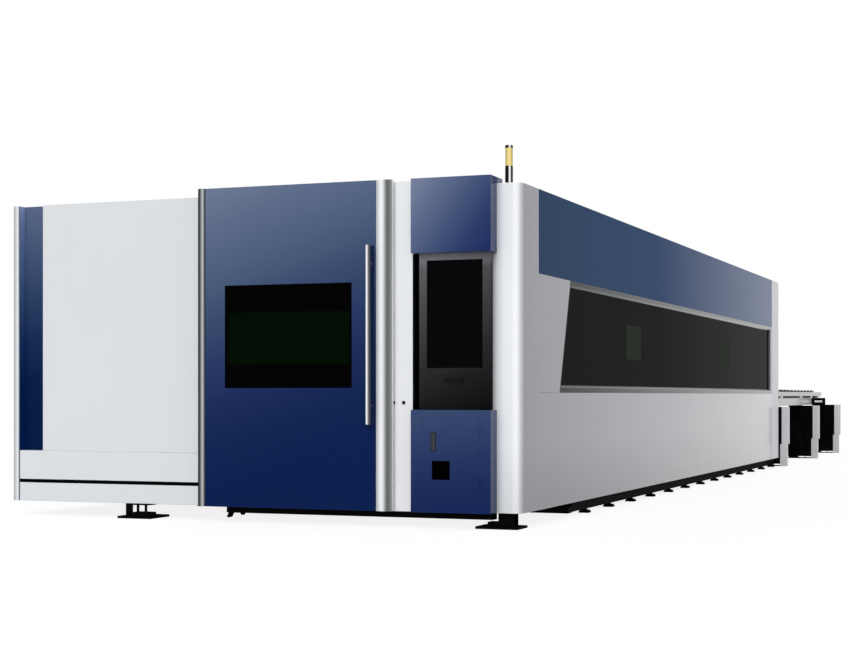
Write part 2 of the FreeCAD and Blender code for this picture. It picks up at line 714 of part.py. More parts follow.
def half_round(x0, x1):
    back = DOOR_BACK
    front = DOOR_FACE - PROFILE_BULGE
    side = DOOR_FACE + 10
    mid = (x0 + x1) / 2
    arc = Part.Arc(V(x0, side, DOOR_Z[0]), V(mid, front, DOOR_Z[0]), V(x1, side, DOOR_Z[0])).toShape()
    lines = Part.makePolygon([V(x1, side, DOOR_Z[0]), V(x1, back, DOOR_Z[0]), V(x0, back, DOOR_Z[0]),
                              V(x0, side, DOOR_Z[0])])
    wire = Part.Wire([arc] + lines.Edges)
    return Part.Face(wire).extrude(V(0, 0, DOOR_Z[1] - DOOR_Z[0]))


def door_profiles():
    left = half_round(LEAF_X[0] - PROFILE_LEFT, LEAF_X[0])
    right = half_round(LEAF_X[1], LEAF_X[1] + PROFILE_RIGHT)
    clear = box(LEAF_X[1], LEAF_X[1] + PROFILE_RIGHT, DOOR_BACK - 14, DOOR_BACK, *DOOR_Z)
    return [left, right.cut(clear)]


def door_guide_shoe():
    z0 = GROOVE_Z[0] + LINER + RUN
    z1 = GROOVE_Z[1] - LINER - RUN
    x0 = LEAF_X[0] - PROFILE_LEFT
    return [box(x0, DOORWAY[0] - RUN, DOOR_BACK, GROOVE - LINER - 2, z0, z1)]


def rounded_plate(x0, x1, y0, y1, z0, z1, r):
    plate = box(x0, x1, y0, y1, z0, z1)
    return fillet_at(plate, r, lambda c, e: abs(c.y - (y0 + y1) / 2) < 0.01)


def door_pane():
    pane = box(PANE_X[0], PANE_X[1], DOOR_FACE + 1, DOOR_FACE + PANE, *PANE_Z)
    hole = rounded_plate(GREEN_X[0], GREEN_X[1], DOOR_FACE, DOOR_FACE + PANE, GREEN_Z[0], GREEN_Z[1], GREEN_R)
    return [pane.cut(hole)]


def door_window():
    y0 = DOOR_FACE + 3
    return [rounded_plate(GREEN_X[0], GREEN_X[1], y0, DOOR_FACE + PANE, GREEN_Z[0], GREEN_Z[1], GREEN_R)]


def door_handle():
    bar = cyl(HANDLE_R, HANDLE_Z[1] - HANDLE_Z[0], V(HANDLE_X, HANDLE_Y, HANDLE_Z[0]))
    bar = bar.makeChamfer(4, [e for e in bar.Edges if len(e.Vertexes) == 1])
    for z in (HANDLE_Z[0] + HANDLE_POST_IN, HANDLE_Z[1] - HANDLE_POST_IN):
        post = cyl(HANDLE_POST_R, DOOR_FACE - STRIP_THICK - HANDLE_Y, V(HANDLE_X, HANDLE_Y, z), V(0, 1, 0))
        bar = bar.fuse(post)
    return [bar]


def door_handle_strip():
    return [box(STRIP_X[0], STRIP_X[1], DOOR_FACE - STRIP_THICK, DOOR_FACE, *HANDLE_Z)]


def door_hangers():
    y1 = TRACK_Y[1] + RUN + HANGER_WALL
    y0 = TRACK_Y[1] - TRACK_RAIL - RUN - HANGER_WALL
    low = TRACK_Z[1] - TRACK_NECK + 6
    inner0 = y0 + HANGER_WALL
    inner1 = y1 - HANGER_WALL
    roof = TRACK_Z[1] + RUN
    top = DOOR_Z[1] - 9
    profile = [(DOOR_BACK, HANGER_ARM_Z), (y0, HANGER_ARM_Z), (y0, low), (inner0, low), (inner0, roof)]
    profile += [(inner1, roof), (inner1, low), (y1, low), (y1, top), (DOOR_BACK, top)]
    starts = (LEAF_X[0] + HANGER_IN, LEAF_X[1] - HANGER_IN - HANGER_WIDTH)
    return [prism_x(profile, x, x + HANGER_WIDTH) for x in starts]


# ---------------------------------------------------------------- console
def console_hood():
    front = box(CONSOLE_X[0], CONSOLE_X[1], CONSOLE_FACE, 0, *HOOD_Z)
    back = box(CONSOLE_X[0], CORNER_X0, COLUMN_BACK, HOOD_BACK, *HOOD_Z)
    mid = box(CONSOLE_X[0], CORNER_X0, 0, HOOD_BACK, *HOOD_Z)
    cap = box(CORNER_X0, CONSOLE_X[1], 0, HOOD_BACK, ENC_TOP, HOOD_Z[1])
    hood = front.fuse([back, mid, cap]).removeSplitter()
    return [fillet_at(hood, 5, lambda c, e: upright(e) and c.y < CONSOLE_FACE + 1)]


def console_housing():
    x0, x1 = CONSOLE_X[0], CORNER_X0
    z0, z1 = CABINET_TOP, HOOD_Z[0]
    plate = box(x0, x1, NICHE_Y, NICHE_Y + NICHE_PLATE, z0, z1)
    inner = box(DRAWER_X[0] - RUNNER, DRAWER_X[1] + RUNNER, 0, CONSOLE_BACK, DRAWER_Z[0] - 8, DRAWER_Z[1])
    left = box(x0, x0 + SHEET, NICHE_Y + NICHE_PLATE, CONSOLE_BACK, z0, z1)
    right = box(x1 - SHEET, x1, NICHE_Y + NICHE_PLATE, CONSOLE_BACK, z0, z1)
    back = box(x0 + SHEET, x1 - SHEET, CONSOLE_BACK - SHEET, CONSOLE_BACK, z0, z1)
    top = box(x0 + SHEET, x1 - SHEET, NICHE_Y + NICHE_PLATE, CONSOLE_BACK - SHEET, z1 - SHEET, z1)
    return [plate.cut(inner), left, right, back, top]


def drawer_runners():
    z0 = DRAWER_Z[0] + 6
    outer = [CONSOLE_X[0] + SHEET, CORNER_X0 - SHEET]
    gap = DRAWER_GAP + RUN
    y0, y1 = NICHE_Y + NICHE_PLATE, CONSOLE_BACK - RUNNER_END
    left = box(outer[0], DRAWER_X[0] + gap - RUN, y0, y1, z0, z0 + RUNNER)
    right = box(DRAWER_X[1] - gap + RUN, outer[1], y0, y1, z0, z0 + RUNNER)
    return [left, right]


def console_face():
    x0, x1 = BEZEL_X
    front = box(x0, x1, BEZEL_FACE, BEZEL_FACE + BEZEL_WALL, CABINET_TOP, HOOD_Z[0])
    screen = box(SCREEN_X[0], SCREEN_X[1], BEZEL_FACE, BEZEL_FACE + BEZEL_WALL, *SCREEN_Z)
    drawer = box(DRAWER_X[0], DRAWER_X[1], BEZEL_FACE, BEZEL_FACE + BEZEL_WALL, *DRAWER_Z)
    left = box(x0, x0 + BEZEL_WALL, BEZEL_FACE + BEZEL_WALL, NICHE_Y, CABINET_TOP, HOOD_Z[0])
    right = box(x1 - BEZEL_WALL, x1, BEZEL_FACE + BEZEL_WALL, NICHE_Y, CABINET_TOP, HOOD_Z[0])
    return [front.cut(screen).cut(drawer).fuse([left, right]).removeSplitter()]


def console_screen():
    y0 = BEZEL_FACE + SCREEN_SET_BACK
    return [box(SCREEN_X[0], SCREEN_X[1], y0, y0 + SCREEN, *SCREEN_Z)]


def drawer():
    x0, x1 = DRAWER_X[0] + DRAWER_GAP, DRAWER_X[1] - DRAWER_GAP
    z0, z1 = DRAWER_Z[0] + DRAWER_GAP, DRAWER_Z[1] - DRAWER_GAP
    y1 = BEZEL_FACE + DRAWER_FRONT
    front = box(x0, x1, BEZEL_FACE, y1, z0, z1)
    tray_x0, tray_x1 = x0 + RUN, x1 - RUN
    tray = box(tray_x0, tray_x1, y1, y1 + TRAY_DEPTH, z0 + 2, z0 + TRAY_HEIGHT)
    hollow = box(tray_x0 + TRAY_WALL, tray_x1 - TRAY_WALL, y1, y1 + TRAY_DEPTH - TRAY_WALL,
                 z0 + 2 + TRAY_WALL, z0 + TRAY_HEIGHT)
    return [front.fuse(tray.cut(hollow)).removeSplitter()]


def drawer_pull():
    x0, x1 = PULL_X
    mid = (x0 + x1) / 2
    z = PULL_Z - PULL_R
    front = BEZEL_FACE - PULL_OFF
    back = front + 2 * PULL_R
    outer = Part.Arc(V(x0, front, z), V(mid, front - PULL_BOW, z), V(x1, front, z)).toShape()
    inner = Part.Arc(V(x1, back, z), V(mid, back - PULL_BOW, z), V(x0, back, z)).toShape()
    ends = [Part.makeLine(V(x1, front, z), V(x1, back, z)), Part.makeLine(V(x0, back, z), V(x0, front, z))]
    grip = Part.Face(Part.Wire([outer, ends[0], inner, ends[1]])).extrude(V(0, 0, 2 * PULL_R))
    posts = []
    for a, b in ((x0, x0 + 2 * PULL_R), (x1 - 2 * PULL_R, x1)):
        posts.append(box(a, b, back - PULL_R, BEZEL_FACE, z, z + 2 * PULL_R))
    return [grip.fuse(posts).removeSplitter()]


def console_cabinet():
    x0, x1 = CONSOLE_X[0], CORNER_X0
    z0, z1 = CABINET_Z, CABINET_TOP
    front = box(x0, CONSOLE_X[1], CONSOLE_FACE, CONSOLE_FACE + CDOOR, z0, z1)
    front = front.cut(box(CDOOR_X[0], CDOOR_X[1], CONSOLE_FACE, CONSOLE_FACE + CDOOR, *CDOOR_Z))
    y0 = CONSOLE_FACE + CDOOR
    right = box(CONSOLE_X[1] - SHEET, CONSOLE_X[1], y0, 0, z0, z1)
    body = box(x0, x1, 0, CONSOLE_BACK, z0, z1)
    body = body.fuse(box(x0, CONSOLE_X[1], y0, 0, z0, z1))
    hollow = box(x0 + SHEET, x1 - SHEET, y0, CONSOLE_BACK - SHEET, z0 + SHEET, z1 - SHEET)
    hollow = hollow.fuse(box(x0 + SHEET, CONSOLE_X[1] - SHEET, y0, 0, z0 + SHEET, z1 - SHEET))
    shell = body.cut(hollow).fuse(front).fuse(right).removeSplitter()
    shell = fillet_at(shell, 5, lambda c, e: upright(e) and c.y < CONSOLE_FACE + 1
                      and (c.x < CONSOLE_X[0] + 1 or c.x > CONSOLE_X[1] - 1))
    axis_x, axis_y = hinge_axis()
    for z in KNUCKLE_Z:
        knuckle = cyl(KNUCKLE_R, KNUCKLE, V(axis_x, axis_y, z))
        leaf = box(axis_x, axis_x + 24, axis_y, CONSOLE_FACE, z, z + KNUCKLE)
        pin = cyl(PIN_R, KNUCKLE, V(axis_x, axis_y, z + KNUCKLE))
        shell = shell.fuse(knuckle).fuse(leaf).fuse(pin)
    return [shell]


def hinge_axis():
    return CDOOR_X[1] - CDOOR_GAP / 2, CONSOLE_FACE - KNUCKLE_R


def cabinet_door():
    x0, x1 = CDOOR_X[0] + CDOOR_GAP, CDOOR_X[1] - CDOOR_GAP
    z0, z1 = CDOOR_Z[0] + CDOOR_GAP, CDOOR_Z[1] - CDOOR_GAP
    door = box(x0, x1, CONSOLE_FACE, CONSOLE_FACE + CDOOR, z0, z1)
    dish = box(DISH_X[0], DISH_X[1], CONSOLE_FACE, CONSOLE_FACE + DISH, *DISH_Z)
    door = door.cut(dish)
    axis_x, axis_y = hinge_axis()
    for z in KNUCKLE_Z:
        low = z + KNUCKLE + RUN
        knuckle = cyl(KNUCKLE_R, KNUCKLE, V(axis_x, axis_y, low))
        leaf = box(axis_x - 24, axis_x, axis_y, CONSOLE_FACE, low, low + KNUCKLE)
        bore = cyl(PIN_R + PIN_GAP, KNUCKLE, V(axis_x, axis_y, low))
        door = door.fuse(knuckle).fuse(leaf).cut(bore)
    return [door]


def lever_pivot():
    return CONSOLE_FACE - LEVER_PROUD + LEVER / 2, DISH_Z[1] - LEVER_PIVOT_IN


def lock_lever():
    y0 = CONSOLE_FACE - LEVER_PROUD
    pivot_y, pivot_z = lever_pivot()
    x0, x1 = DISH_X[0] + LEVER_SIDE, DISH_X[1] - LEVER_SIDE
    lever = box(x0, x1, y0, y0 + LEVER, DISH_Z[0] + LEVER_SIDE, pivot_z)
    eye = cyl(LEVER / 2, x1 - x0, V(x0, pivot_y, pivot_z), V(1, 0, 0))
    pin = cyl(LEVER_PIN_R, DISH_X[1] - DISH_X[0] - 2 * RUN, V(DISH_X[0] + RUN, pivot_y, pivot_z), V(1, 0, 0))
    return [lever.fuse(eye).fuse(pin)]


def cabinet_vent():
    y1 = CONSOLE_FACE
    vent = box(VENT_X[0], VENT_X[1], y1 - VENT, y1, *VENT_Z)
    pitch = (VENT_Z[1] - VENT_Z[0]) / (VENT_SLOTS + 1)
    x0, x1 = VENT_X[0] + 12, VENT_X[1] - 12
    for i in range(VENT_SLOTS):
        z = VENT_Z[0] + (i + 1) * pitch
        vent = vent.cut(box(x0, x1, y1 - VENT, y1 - 1, z - VENT_SLOT / 2, z + VENT_SLOT / 2))
    return [vent]


def button(x):
    back = COLUMN_FACE - BUTTON_TRAVEL - RUN
    cap = cyl(BUTTON_R, BUTTON_CAP, V(x, back - BUTTON_CAP, BUTTON_Z), V(0, 1, 0))
    stem = stem_y(6, BUTTON_STEM_R, x, back, back + BUTTON_STEM + BUTTON_TRAVEL / 2, BUTTON_Z)
    return [cap.fuse(stem)]


# ---------------------------------------------------------------- signal lamp
def lamp_housing():
    base = cyl(LAMP_R, LAMP_BASE, V(LAMP_X, LAMP_Y, ENC_TOP))
    top = ENC_TOP + LAMP_BASE + LAMP_LENS
    cap = cyl(LAMP_R, LAMP_CAP, V(LAMP_X, LAMP_Y, top))
    return [base, cap]


def lamp_lens():
    return [cyl(LAMP_R - 1, LAMP_LENS, V(LAMP_X, LAMP_Y, ENC_TOP + LAMP_BASE))]


# ---------------------------------------------------------------- bed
def bed():
    step = [(LEDGE_IN, PANEL_Z), (HALF_IN, PANEL_Z), (HALF_IN, BED_TOP), (LEDGE_OUT, BED_TOP),
            (LEDGE_OUT, LEDGE_Z), (LEDGE_IN, LEDGE_Z)]
    beams = pair(prism_y(step, *BED_Y))
    ties = []
    top = PANEL_Z + TIE_HEIGHT
    for y in steps(BED_Y[0] + TIE, BED_Y[1] - TIE, BED_TIES):
        ties.append(tube_x(-LEDGE_IN, LEDGE_IN, y - TIE / 2, y + TIE / 2, PANEL_Z, top, TUBE))
    return beams + ties


def y_rails():
    return pair(box(YRAIL_X - YRAIL_W / 2, YRAIL_X + YRAIL_W / 2, BED_Y[0] + YRAIL_END, BED_Y[1] - YRAIL_END,
                    BED_TOP, BED_TOP + YRAIL_H))


def gear_racks():
    return pair(box(RACK_X[0], RACK_X[1], BED_Y[0] + YRAIL_END, BED_Y[1] - YRAIL_END, BED_TOP,
                    BED_TOP + RACK_H))


def gantry_beam():
    y0, y1 = BEAM_Y - BEAM_W / 2, BEAM_Y + BEAM_W / 2
    beam = tube_x(-SADDLE_X[1], SADDLE_X[1], y0, y1, BEAM_Z, BEAM_Z + BEAM_H, BEAM_WALL)
    return [beam]


def gantry_saddles():
    plate = box(SADDLE_X[0], SADDLE_X[1], BEAM_Y - SADDLE_L / 2, BEAM_Y + SADDLE_L / 2,
                BED_TOP + BLOCK_H, BED_TOP + BLOCK_H + SADDLE)
    x0, x1 = YRAIL_X - BLOCK_W / 2, YRAIL_X + BLOCK_W / 2
    r0, r1 = YRAIL_X - YRAIL_W / 2 - RUN, YRAIL_X + YRAIL_W / 2 + RUN
    low, high = BED_TOP + 8, BED_TOP + BLOCK_H
    roof = BED_TOP + YRAIL_H + RUN
    profile = [(x0, low), (r0, low), (r0, roof), (r1, roof), (r1, low), (x1, low), (x1, high), (x0, high)]
    blocks = []
    for side in (-1, 1):
        mid = BEAM_Y + side * BLOCK_PITCH / 2
        blocks.append(prism_y(profile, mid - BLOCK_L / 2, mid + BLOCK_L / 2))
    return pair(plate, *blocks)


def gantry_motors():
    top = BED_TOP + BLOCK_H + SADDLE
    y1 = BEAM_Y - BEAM_W / 2 - GEARBOX_GAP
    y0 = y1 - GEARBOX
    body = box(SADDLE_X[0] + GEARBOX_GAP, SADDLE_X[1] - GEARBOX_GAP, y0, y1, top, top + GEARBOX)
    x, y = (SADDLE_X[0] + SADDLE_X[1]) / 2, (y0 + y1) / 2
    half = SERVO_W / 2
    servo = box(x - half, x + half, y - half, y + half, top + GEARBOX, top + GEARBOX + SERVO_L)
    return pair(body.fuse(servo))


def x_rail_z():
    return BEAM_Z + XRAIL_IN, BEAM_Z + BEAM_H - XRAIL_IN


def x_rails():
    x1 = SADDLE_X[1] - 20
    return [box(-x1, x1, BEAM_FRONT, BEAM_FRONT + XRAIL, z - XRAIL / 2, z + XRAIL / 2) for z in x_rail_z()]


def x_carriage():
    y0 = BEAM_FRONT + XRAIL + 16
    plate = box(-CARRIAGE_W / 2, CARRIAGE_W / 2, y0, y0 + CARRIAGE, BEAM_Z + 10, BEAM_Z + BEAM_H + 60)
    shapes = [plate]
    for z in x_rail_z():
        half = XRAIL / 2 + RUN
        inner = BEAM_FRONT + XRAIL + RUN
        low = BEAM_FRONT + 6
        profile = [(low, z - 32), (low, z - half), (inner, z - half), (inner, z + half), (low, z + half),
                   (low, z + 32), (y0, z + 32), (y0, z - 32)]
        for side in (-1, 1):
            mid = side * (CARRIAGE_W / 2 - 60)
            shapes.append(prism_x(profile, mid - 50, mid + 50))
    y1 = y0 + CARRIAGE
    for side in (-1, 1):
        x = side * ZRAIL_PITCH / 2
        shapes.append(box(x - ZRAIL / 2, x + ZRAIL / 2, y1, y1 + ZRAIL, BEAM_Z + 30, BEAM_Z + BEAM_H + 50))
    return shapes


def z_slide():
    y0 = BEAM_FRONT + XRAIL + 16 + CARRIAGE
    back = y0 + ZRAIL + RUN
    z0 = NOZZLE_Z + 170
    plate = box(-ZSLIDE_W / 2, ZSLIDE_W / 2, back, back + ZSLIDE, z0, z0 + ZSLIDE_H)
    shapes = [plate]
    for side in (-1, 1):
        x = side * ZRAIL_PITCH / 2
        for part in (-1, 1):
            edge = x + part * (ZRAIL / 2 + RUN)
            lo, hi = sorted((edge, edge + part * 12))
            for z in (z0 + 10, z0 + 130):
                shapes.append(box(lo, hi, y0 + 4, back, z, z + 80))
    return [shapes[0].fuse(shapes[1:]).removeSplitter()]


def cutting_head():
    y = BEAM_FRONT + XRAIL + 16 + CARRIAGE + ZRAIL + RUN + ZSLIDE + HEAD_R + 10
    tip = NOZZLE_Z
    neck = HEAD_R * 0.55
    nozzle = Part.makeCone(NOZZLE_R / 3, NOZZLE_R, 20, V(0, y, tip))
    collet = ngon(16, neck, 0, y, tip + 20, tip + 110)
    body = ngon(8, HEAD_R, 0, y, tip + 110, tip + 40 + HEAD_H)
    clamp = box(-HEAD_R, HEAD_R, y - HEAD_R - 10, y, tip + 190, tip + 300)
    return [body.fuse([nozzle, collet, clamp])]


# ---------------------------------------------------------------- pallets
def pallet_frame(front, rail, rail_z, run_z):
    x0, x1 = rail
    end = front + PALLET_LENGTH
    shapes = pair(tube_y(x0, x1, front, end, rail_z[0], rail_z[1], 6))
    slat_base = rail_z[1] + SLAT_PROUD - SLAT_H
    low = slat_base - BEARER_H
    for x in (-BEARER_X, 0, BEARER_X):
        shapes.append(box(x - BEARER / 2, x + BEARER / 2, front + BEARER, end - BEARER, low, slat_base))
    step = x0 - END_STEP
    half = [(x0, rail_z[0]), (x0, rail_z[1])]
    outline = [(step, low), (step, rail_z[0])] + half
    outline += [(-x, z) for x, z in reversed(outline)]
    for y in (front, end - BEARER):
        shapes.append(prism_y(outline, y, y + BEARER))
    half = SHOE_L / 2
    for y in steps(front + SHOE_L, end - SHOE_L, SHOES):
        shapes += pair(box(x0 + SHOE_IN, x1 - SHOE_IN, y - half, y + half, run_z + RUN, rail_z[0]))
    return shapes


def pallet_slats(front, rail, rail_z):
    high = rail_z[1] + SLAT_PROUD
    low = high - SLAT_H
    slats = []
    for y in steps(front + 60, front + PALLET_LENGTH - 60, SLAT_COUNT):
        slats.append(box(-rail[0], rail[0], y - SLAT / 2, y + SLAT / 2, low, high))
    return slats


def pallet_tracks():
    end = PALLET_OUT_Y + PALLET_LENGTH
    return pair(box(LOW_TRACK_IN, LEDGE_IN, PALLET_IN_Y - TRACK_BEFORE, end, *LOW_TRACK_Z))


# ---------------------------------------------------------------- table
def table_rails():
    return pair(tube_y(LEDGE_IN, TABLE_RAIL_X, BED_Y[1], TABLE_END, TABLE_RAIL_Z, LEDGE_Z, TABLE_WALL))


def table_trestles():
    shapes = []
    post = POST_X[0]
    foot = post - POST_STEP
    outline = [(LEDGE_IN, TRESTLE_Z), (foot, TRESTLE_Z), (foot, POST_STEP_Z), (post, POST_STEP_Z),
               (post, POST_TOP), (TABLE_RAIL_X, POST_TOP), (TABLE_RAIL_X, TABLE_RAIL_Z),
               (LEDGE_IN, TABLE_RAIL_Z)]
    for y in TRESTLE_Y:
        y1 = y + TRESTLE
        shapes.append(box(-LOW_TRACK_IN, LOW_TRACK_IN, y, y1, TRESTLE_Z, TRESTLE_MID_Z))
        shapes += pair(box(LOW_TRACK_IN, LEDGE_IN, y, y1, TRESTLE_Z, LOW_TRACK_Z[0]))
        shapes += pair(prism_y(outline, y, y1))
        shapes.append(box(-foot, foot, y, y + POST_L, 0, SOLE))
    return shapes


def lifting_loops():
    x0, x1 = TABLE_RAIL_X, TABLE_RAIL_X + LOOP_W
    return pair(tube_y(x0, x1, LOOP_Y, LOOP_Y + LOOP_L, TABLE_RAIL_Z, LEDGE_Z, LOOP_WALL))


def table_posts():
    shapes = []
    for y in TRESTLE_Y:
        upper = box(POST_X[0], POST_X[1], y, y + POST_L, POST_STEP_Z, POST_TOP)
        lower = box(POST_X[0] - POST_STEP, POST_X[1] - POST_STEP, y, y + POST_L, 0, POST_STEP_Z)
        shapes += pair(upper.fuse(lower))
    return shapes


def table_pads():
    shapes = []
    for y in TRESTLE_Y:
        for x in in_from_wall(*PAD_AT):
            shapes += pair(box(x - PAD / 2, x + PAD / 2, y, y + TRESTLE, SOLE, TRESTLE_Z))
    return shapes


def table_drive():
    y0 = DRIVE_Y
    x0 = -LOW_TRACK_IN - 40
    plate = box(x0, x0 + 100, TRESTLE_Y[1] + TRESTLE, TRESTLE_Y[2], DRIVE_Z, DRIVE_Z + 12)
    gear = box(x0, x0 + DRIVE_W, y0, y0 + DRIVE_L / 2, DRIVE_Z + 12, DRIVE_Z + 140)
    motor = cyl(DRIVE_R, DRIVE_L / 2, V(x0 + DRIVE_W / 2, y0 + DRIVE_L / 2, DRIVE_Z + 76), V(0, 1, 0))
    return [plate, gear.fuse(motor)]


# ---------------------------------------------------------------- cell bulkhead, lift door, portal
def bulkhead():
    y0 = BED_Y[1]
    header = box(-HALF_IN, HALF_IN, y0, y0 + BULKHEAD, BULKHEAD_Z, ENC_TOP - ROOF)
    legs = pair(box(TABLE_RAIL_X + 2, HALF_IN, y0, y0 + BULKHEAD, PANEL_Z, BULKHEAD_Z))
    return [header] + legs


def lift_y():
    y0 = BED_Y[1] + BULKHEAD + LIFT_Y
    return y0, y0 + LIFT_THICK


def lift_guides():
    y0, y1 = lift_y()
    x0, x1 = GUIDE_X
    back = BED_Y[1] + BULKHEAD
    slot = LIFT_X + GUIDE_GAP
    profile = [(x0, back), (x1, back), (x1, y1 + 8), (x0, y1 + 8), (x0, y1 + GUIDE_GAP),
               (slot, y1 + GUIDE_GAP), (slot, y0 - GUIDE_GAP), (x0, y0 - GUIDE_GAP)]
    return pair(prism_z(profile, LEDGE_Z, GUIDE_TOP))


def lift_door():
    y0, y1 = lift_y()
    return [box(-LIFT_X, LIFT_X, y0, y1, *LIFT_Z)]


# ---------------------------------------------------------------- equipment
def cabinet_with_grille(spec):
    x0, x1, top = spec
    y0, y1 = EQUIPMENT_Y
    body = box(x0, x1, y0, y1, PLINTH, top)
    body = body.fuse(box(x0 + 30, x1 - 30, y0 + 30, y1 - 30, 0, PLINTH))
    for i in range(GRILLE_SLOTS):
        z = PLINTH + 120 + i * 40
        body = body.cut(box(x0 + 150, x1 - 150, y0, y0 + 4, z, z + 16))
    seam = (x0 + x1) / 2
    body = body.cut(box(seam - 2, seam + 2, y0, y0 + 4, PLINTH + 20, top - 20))
    return [body]


def dust_outlet():
    z0 = ENC_TOP - ROOF
    outer = cyl(DUCT_R, DUCT_H + ROOF, V(DUCT_X, DUCT_Y, z0))
    bore = cyl(DUCT_R - DUCT_WALL, DUCT_H + ROOF, V(DUCT_X, DUCT_Y, z0))
    return [outer.cut(bore)]


def main():
    os.makedirs("parts", exist_ok=True)
    save("base_frame", base_frame())
    save("levelling_feet", levelling_feet())
    save("front_feet", front_feet())
    save("side_walls", lower_side_walls() + upper_side_infills())
    save("side_window_frame", side_window_frame())
    save("side_glass", side_glass())
    save("viewing_windows", viewing_windows())
    save("side_bands", side_bands())
    save("corner_column", corner_column())
    save("rear_columns", rear_columns())
    save("rear_wall", rear_wall())
    save("roof_panels", roof_panels())
    save("left_trim", left_trim())
    save("recess_strip", recess_strip())
    save("front_wall_panels", raised_panel() + front_lower_panel() + door_header())
    save("door_tracks", door_guide() + door_track())
    save("door_column", door_column())
    save("door_leaf", door_leaf())
    save("door_profiles", door_profiles() + door_guide_shoe())
    save("door_pane", door_pane())
    save("door_window", door_window())
    save("door_handle", door_handle())
    save("door_handle_strip", door_handle_strip())
    save("door_hangers", door_hangers())
    save("console_hood", console_hood())
    save("console_housing", console_housing() + drawer_runners())
    save("console_face", console_face())
    save("console_screen", console_screen())
    save("drawer", drawer())
    save("drawer_pull", drawer_pull())
    save("console_cabinet", console_cabinet())
    save("cabinet_door", cabinet_door())
    save("lock_lever", lock_lever())
    save("cabinet_vent", cabinet_vent())
    save("button_left", button(BUTTON_X[0]))
    save("button_right", button(BUTTON_X[1]))
    save("lamp_housing", lamp_housing())
    save("lamp_lens", lamp_lens())
    save("bed", bed())
    save("y_rails", y_rails() + gear_racks())
    save("gantry_beam", gantry_beam())
    save("gantry_saddles", gantry_saddles() + gantry_motors())
    save("x_rails", x_rails())
    save("x_carriage", x_carriage())
    save("z_slide", z_slide())
    save("cutting_head", cutting_head())
    save("upper_pallet", pallet_frame(PALLET_OUT_Y, UP_RAIL, UP_RAIL_Z, LEDGE_Z))
    save("upper_slats", pallet_slats(PALLET_OUT_Y, UP_RAIL, UP_RAIL_Z))
    save("lower_pallet", pallet_frame(PALLET_IN_Y, LOW_RAIL, LOW_RAIL_Z, LOW_TRACK_Z[1]))
    save("lower_slats", pallet_slats(PALLET_IN_Y, LOW_RAIL, LOW_RAIL_Z))
    save("table_rails", table_rails() + pallet_tracks())
    save("table_trestles", table_trestles() + table_pads() + lifting_loops())
    save("table_drive", table_drive())
    save("table_posts", table_posts())
    save("cell_bulkhead", bulkhead())
    save("lift_guides", lift_guides())
    save("lift_door", lift_door())
    save("laser_source", cabinet_with_grille(LASER))
    save("electrical_cabinet", cabinet_with_grille(ELECTRIC))
    save("dust_outlet", dust_outlet())


main()
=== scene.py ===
import json
import math

import bmesh
import bpy
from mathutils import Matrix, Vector

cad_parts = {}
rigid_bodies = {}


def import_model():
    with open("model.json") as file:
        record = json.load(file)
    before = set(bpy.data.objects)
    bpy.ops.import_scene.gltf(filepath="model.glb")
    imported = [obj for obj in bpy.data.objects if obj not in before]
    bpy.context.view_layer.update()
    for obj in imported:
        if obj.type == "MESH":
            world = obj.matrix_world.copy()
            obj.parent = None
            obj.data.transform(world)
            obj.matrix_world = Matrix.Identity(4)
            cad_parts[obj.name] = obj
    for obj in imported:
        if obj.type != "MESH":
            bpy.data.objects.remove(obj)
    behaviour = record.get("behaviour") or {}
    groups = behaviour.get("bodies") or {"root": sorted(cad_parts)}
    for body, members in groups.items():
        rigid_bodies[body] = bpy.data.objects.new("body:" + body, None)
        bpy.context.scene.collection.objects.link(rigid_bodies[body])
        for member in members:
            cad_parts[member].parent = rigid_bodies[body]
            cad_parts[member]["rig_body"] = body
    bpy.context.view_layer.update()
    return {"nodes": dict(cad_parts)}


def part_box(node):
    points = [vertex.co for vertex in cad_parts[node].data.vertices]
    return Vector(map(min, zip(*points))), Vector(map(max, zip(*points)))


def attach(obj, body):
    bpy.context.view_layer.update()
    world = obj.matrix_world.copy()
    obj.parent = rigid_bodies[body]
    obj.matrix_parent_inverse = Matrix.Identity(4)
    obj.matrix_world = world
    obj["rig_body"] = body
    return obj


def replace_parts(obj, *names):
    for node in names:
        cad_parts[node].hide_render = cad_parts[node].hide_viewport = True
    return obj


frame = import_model()
NODES = frame["nodes"]

# Every length is in metres. Y runs from the operator's front towards the exchange table, and
# FRONT is the plane of the front panels. The colours are display colours from 0 to 255.
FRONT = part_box("corner_column")[0][1]
UP = (0.0, 0.0, 1.0)
DOWN = (0.0, 0.0, -1.0)
ACROSS = (1.0, 0.0, 0.0)
ALONG = (0.0, 1.0, 0.0)


# ------------------------------------------------------------------ colour and node helpers
def tone(r, g, b):
    """A display colour, 0 to 255, as the linear numbers that the shader sockets take."""
    parts = [c / 255 for c in (r, g, b)]
    return tuple(c / 12.92 if c <= 0.04045 else ((c + 0.055) / 1.055) ** 2.4 for c in parts) + (1.0,)


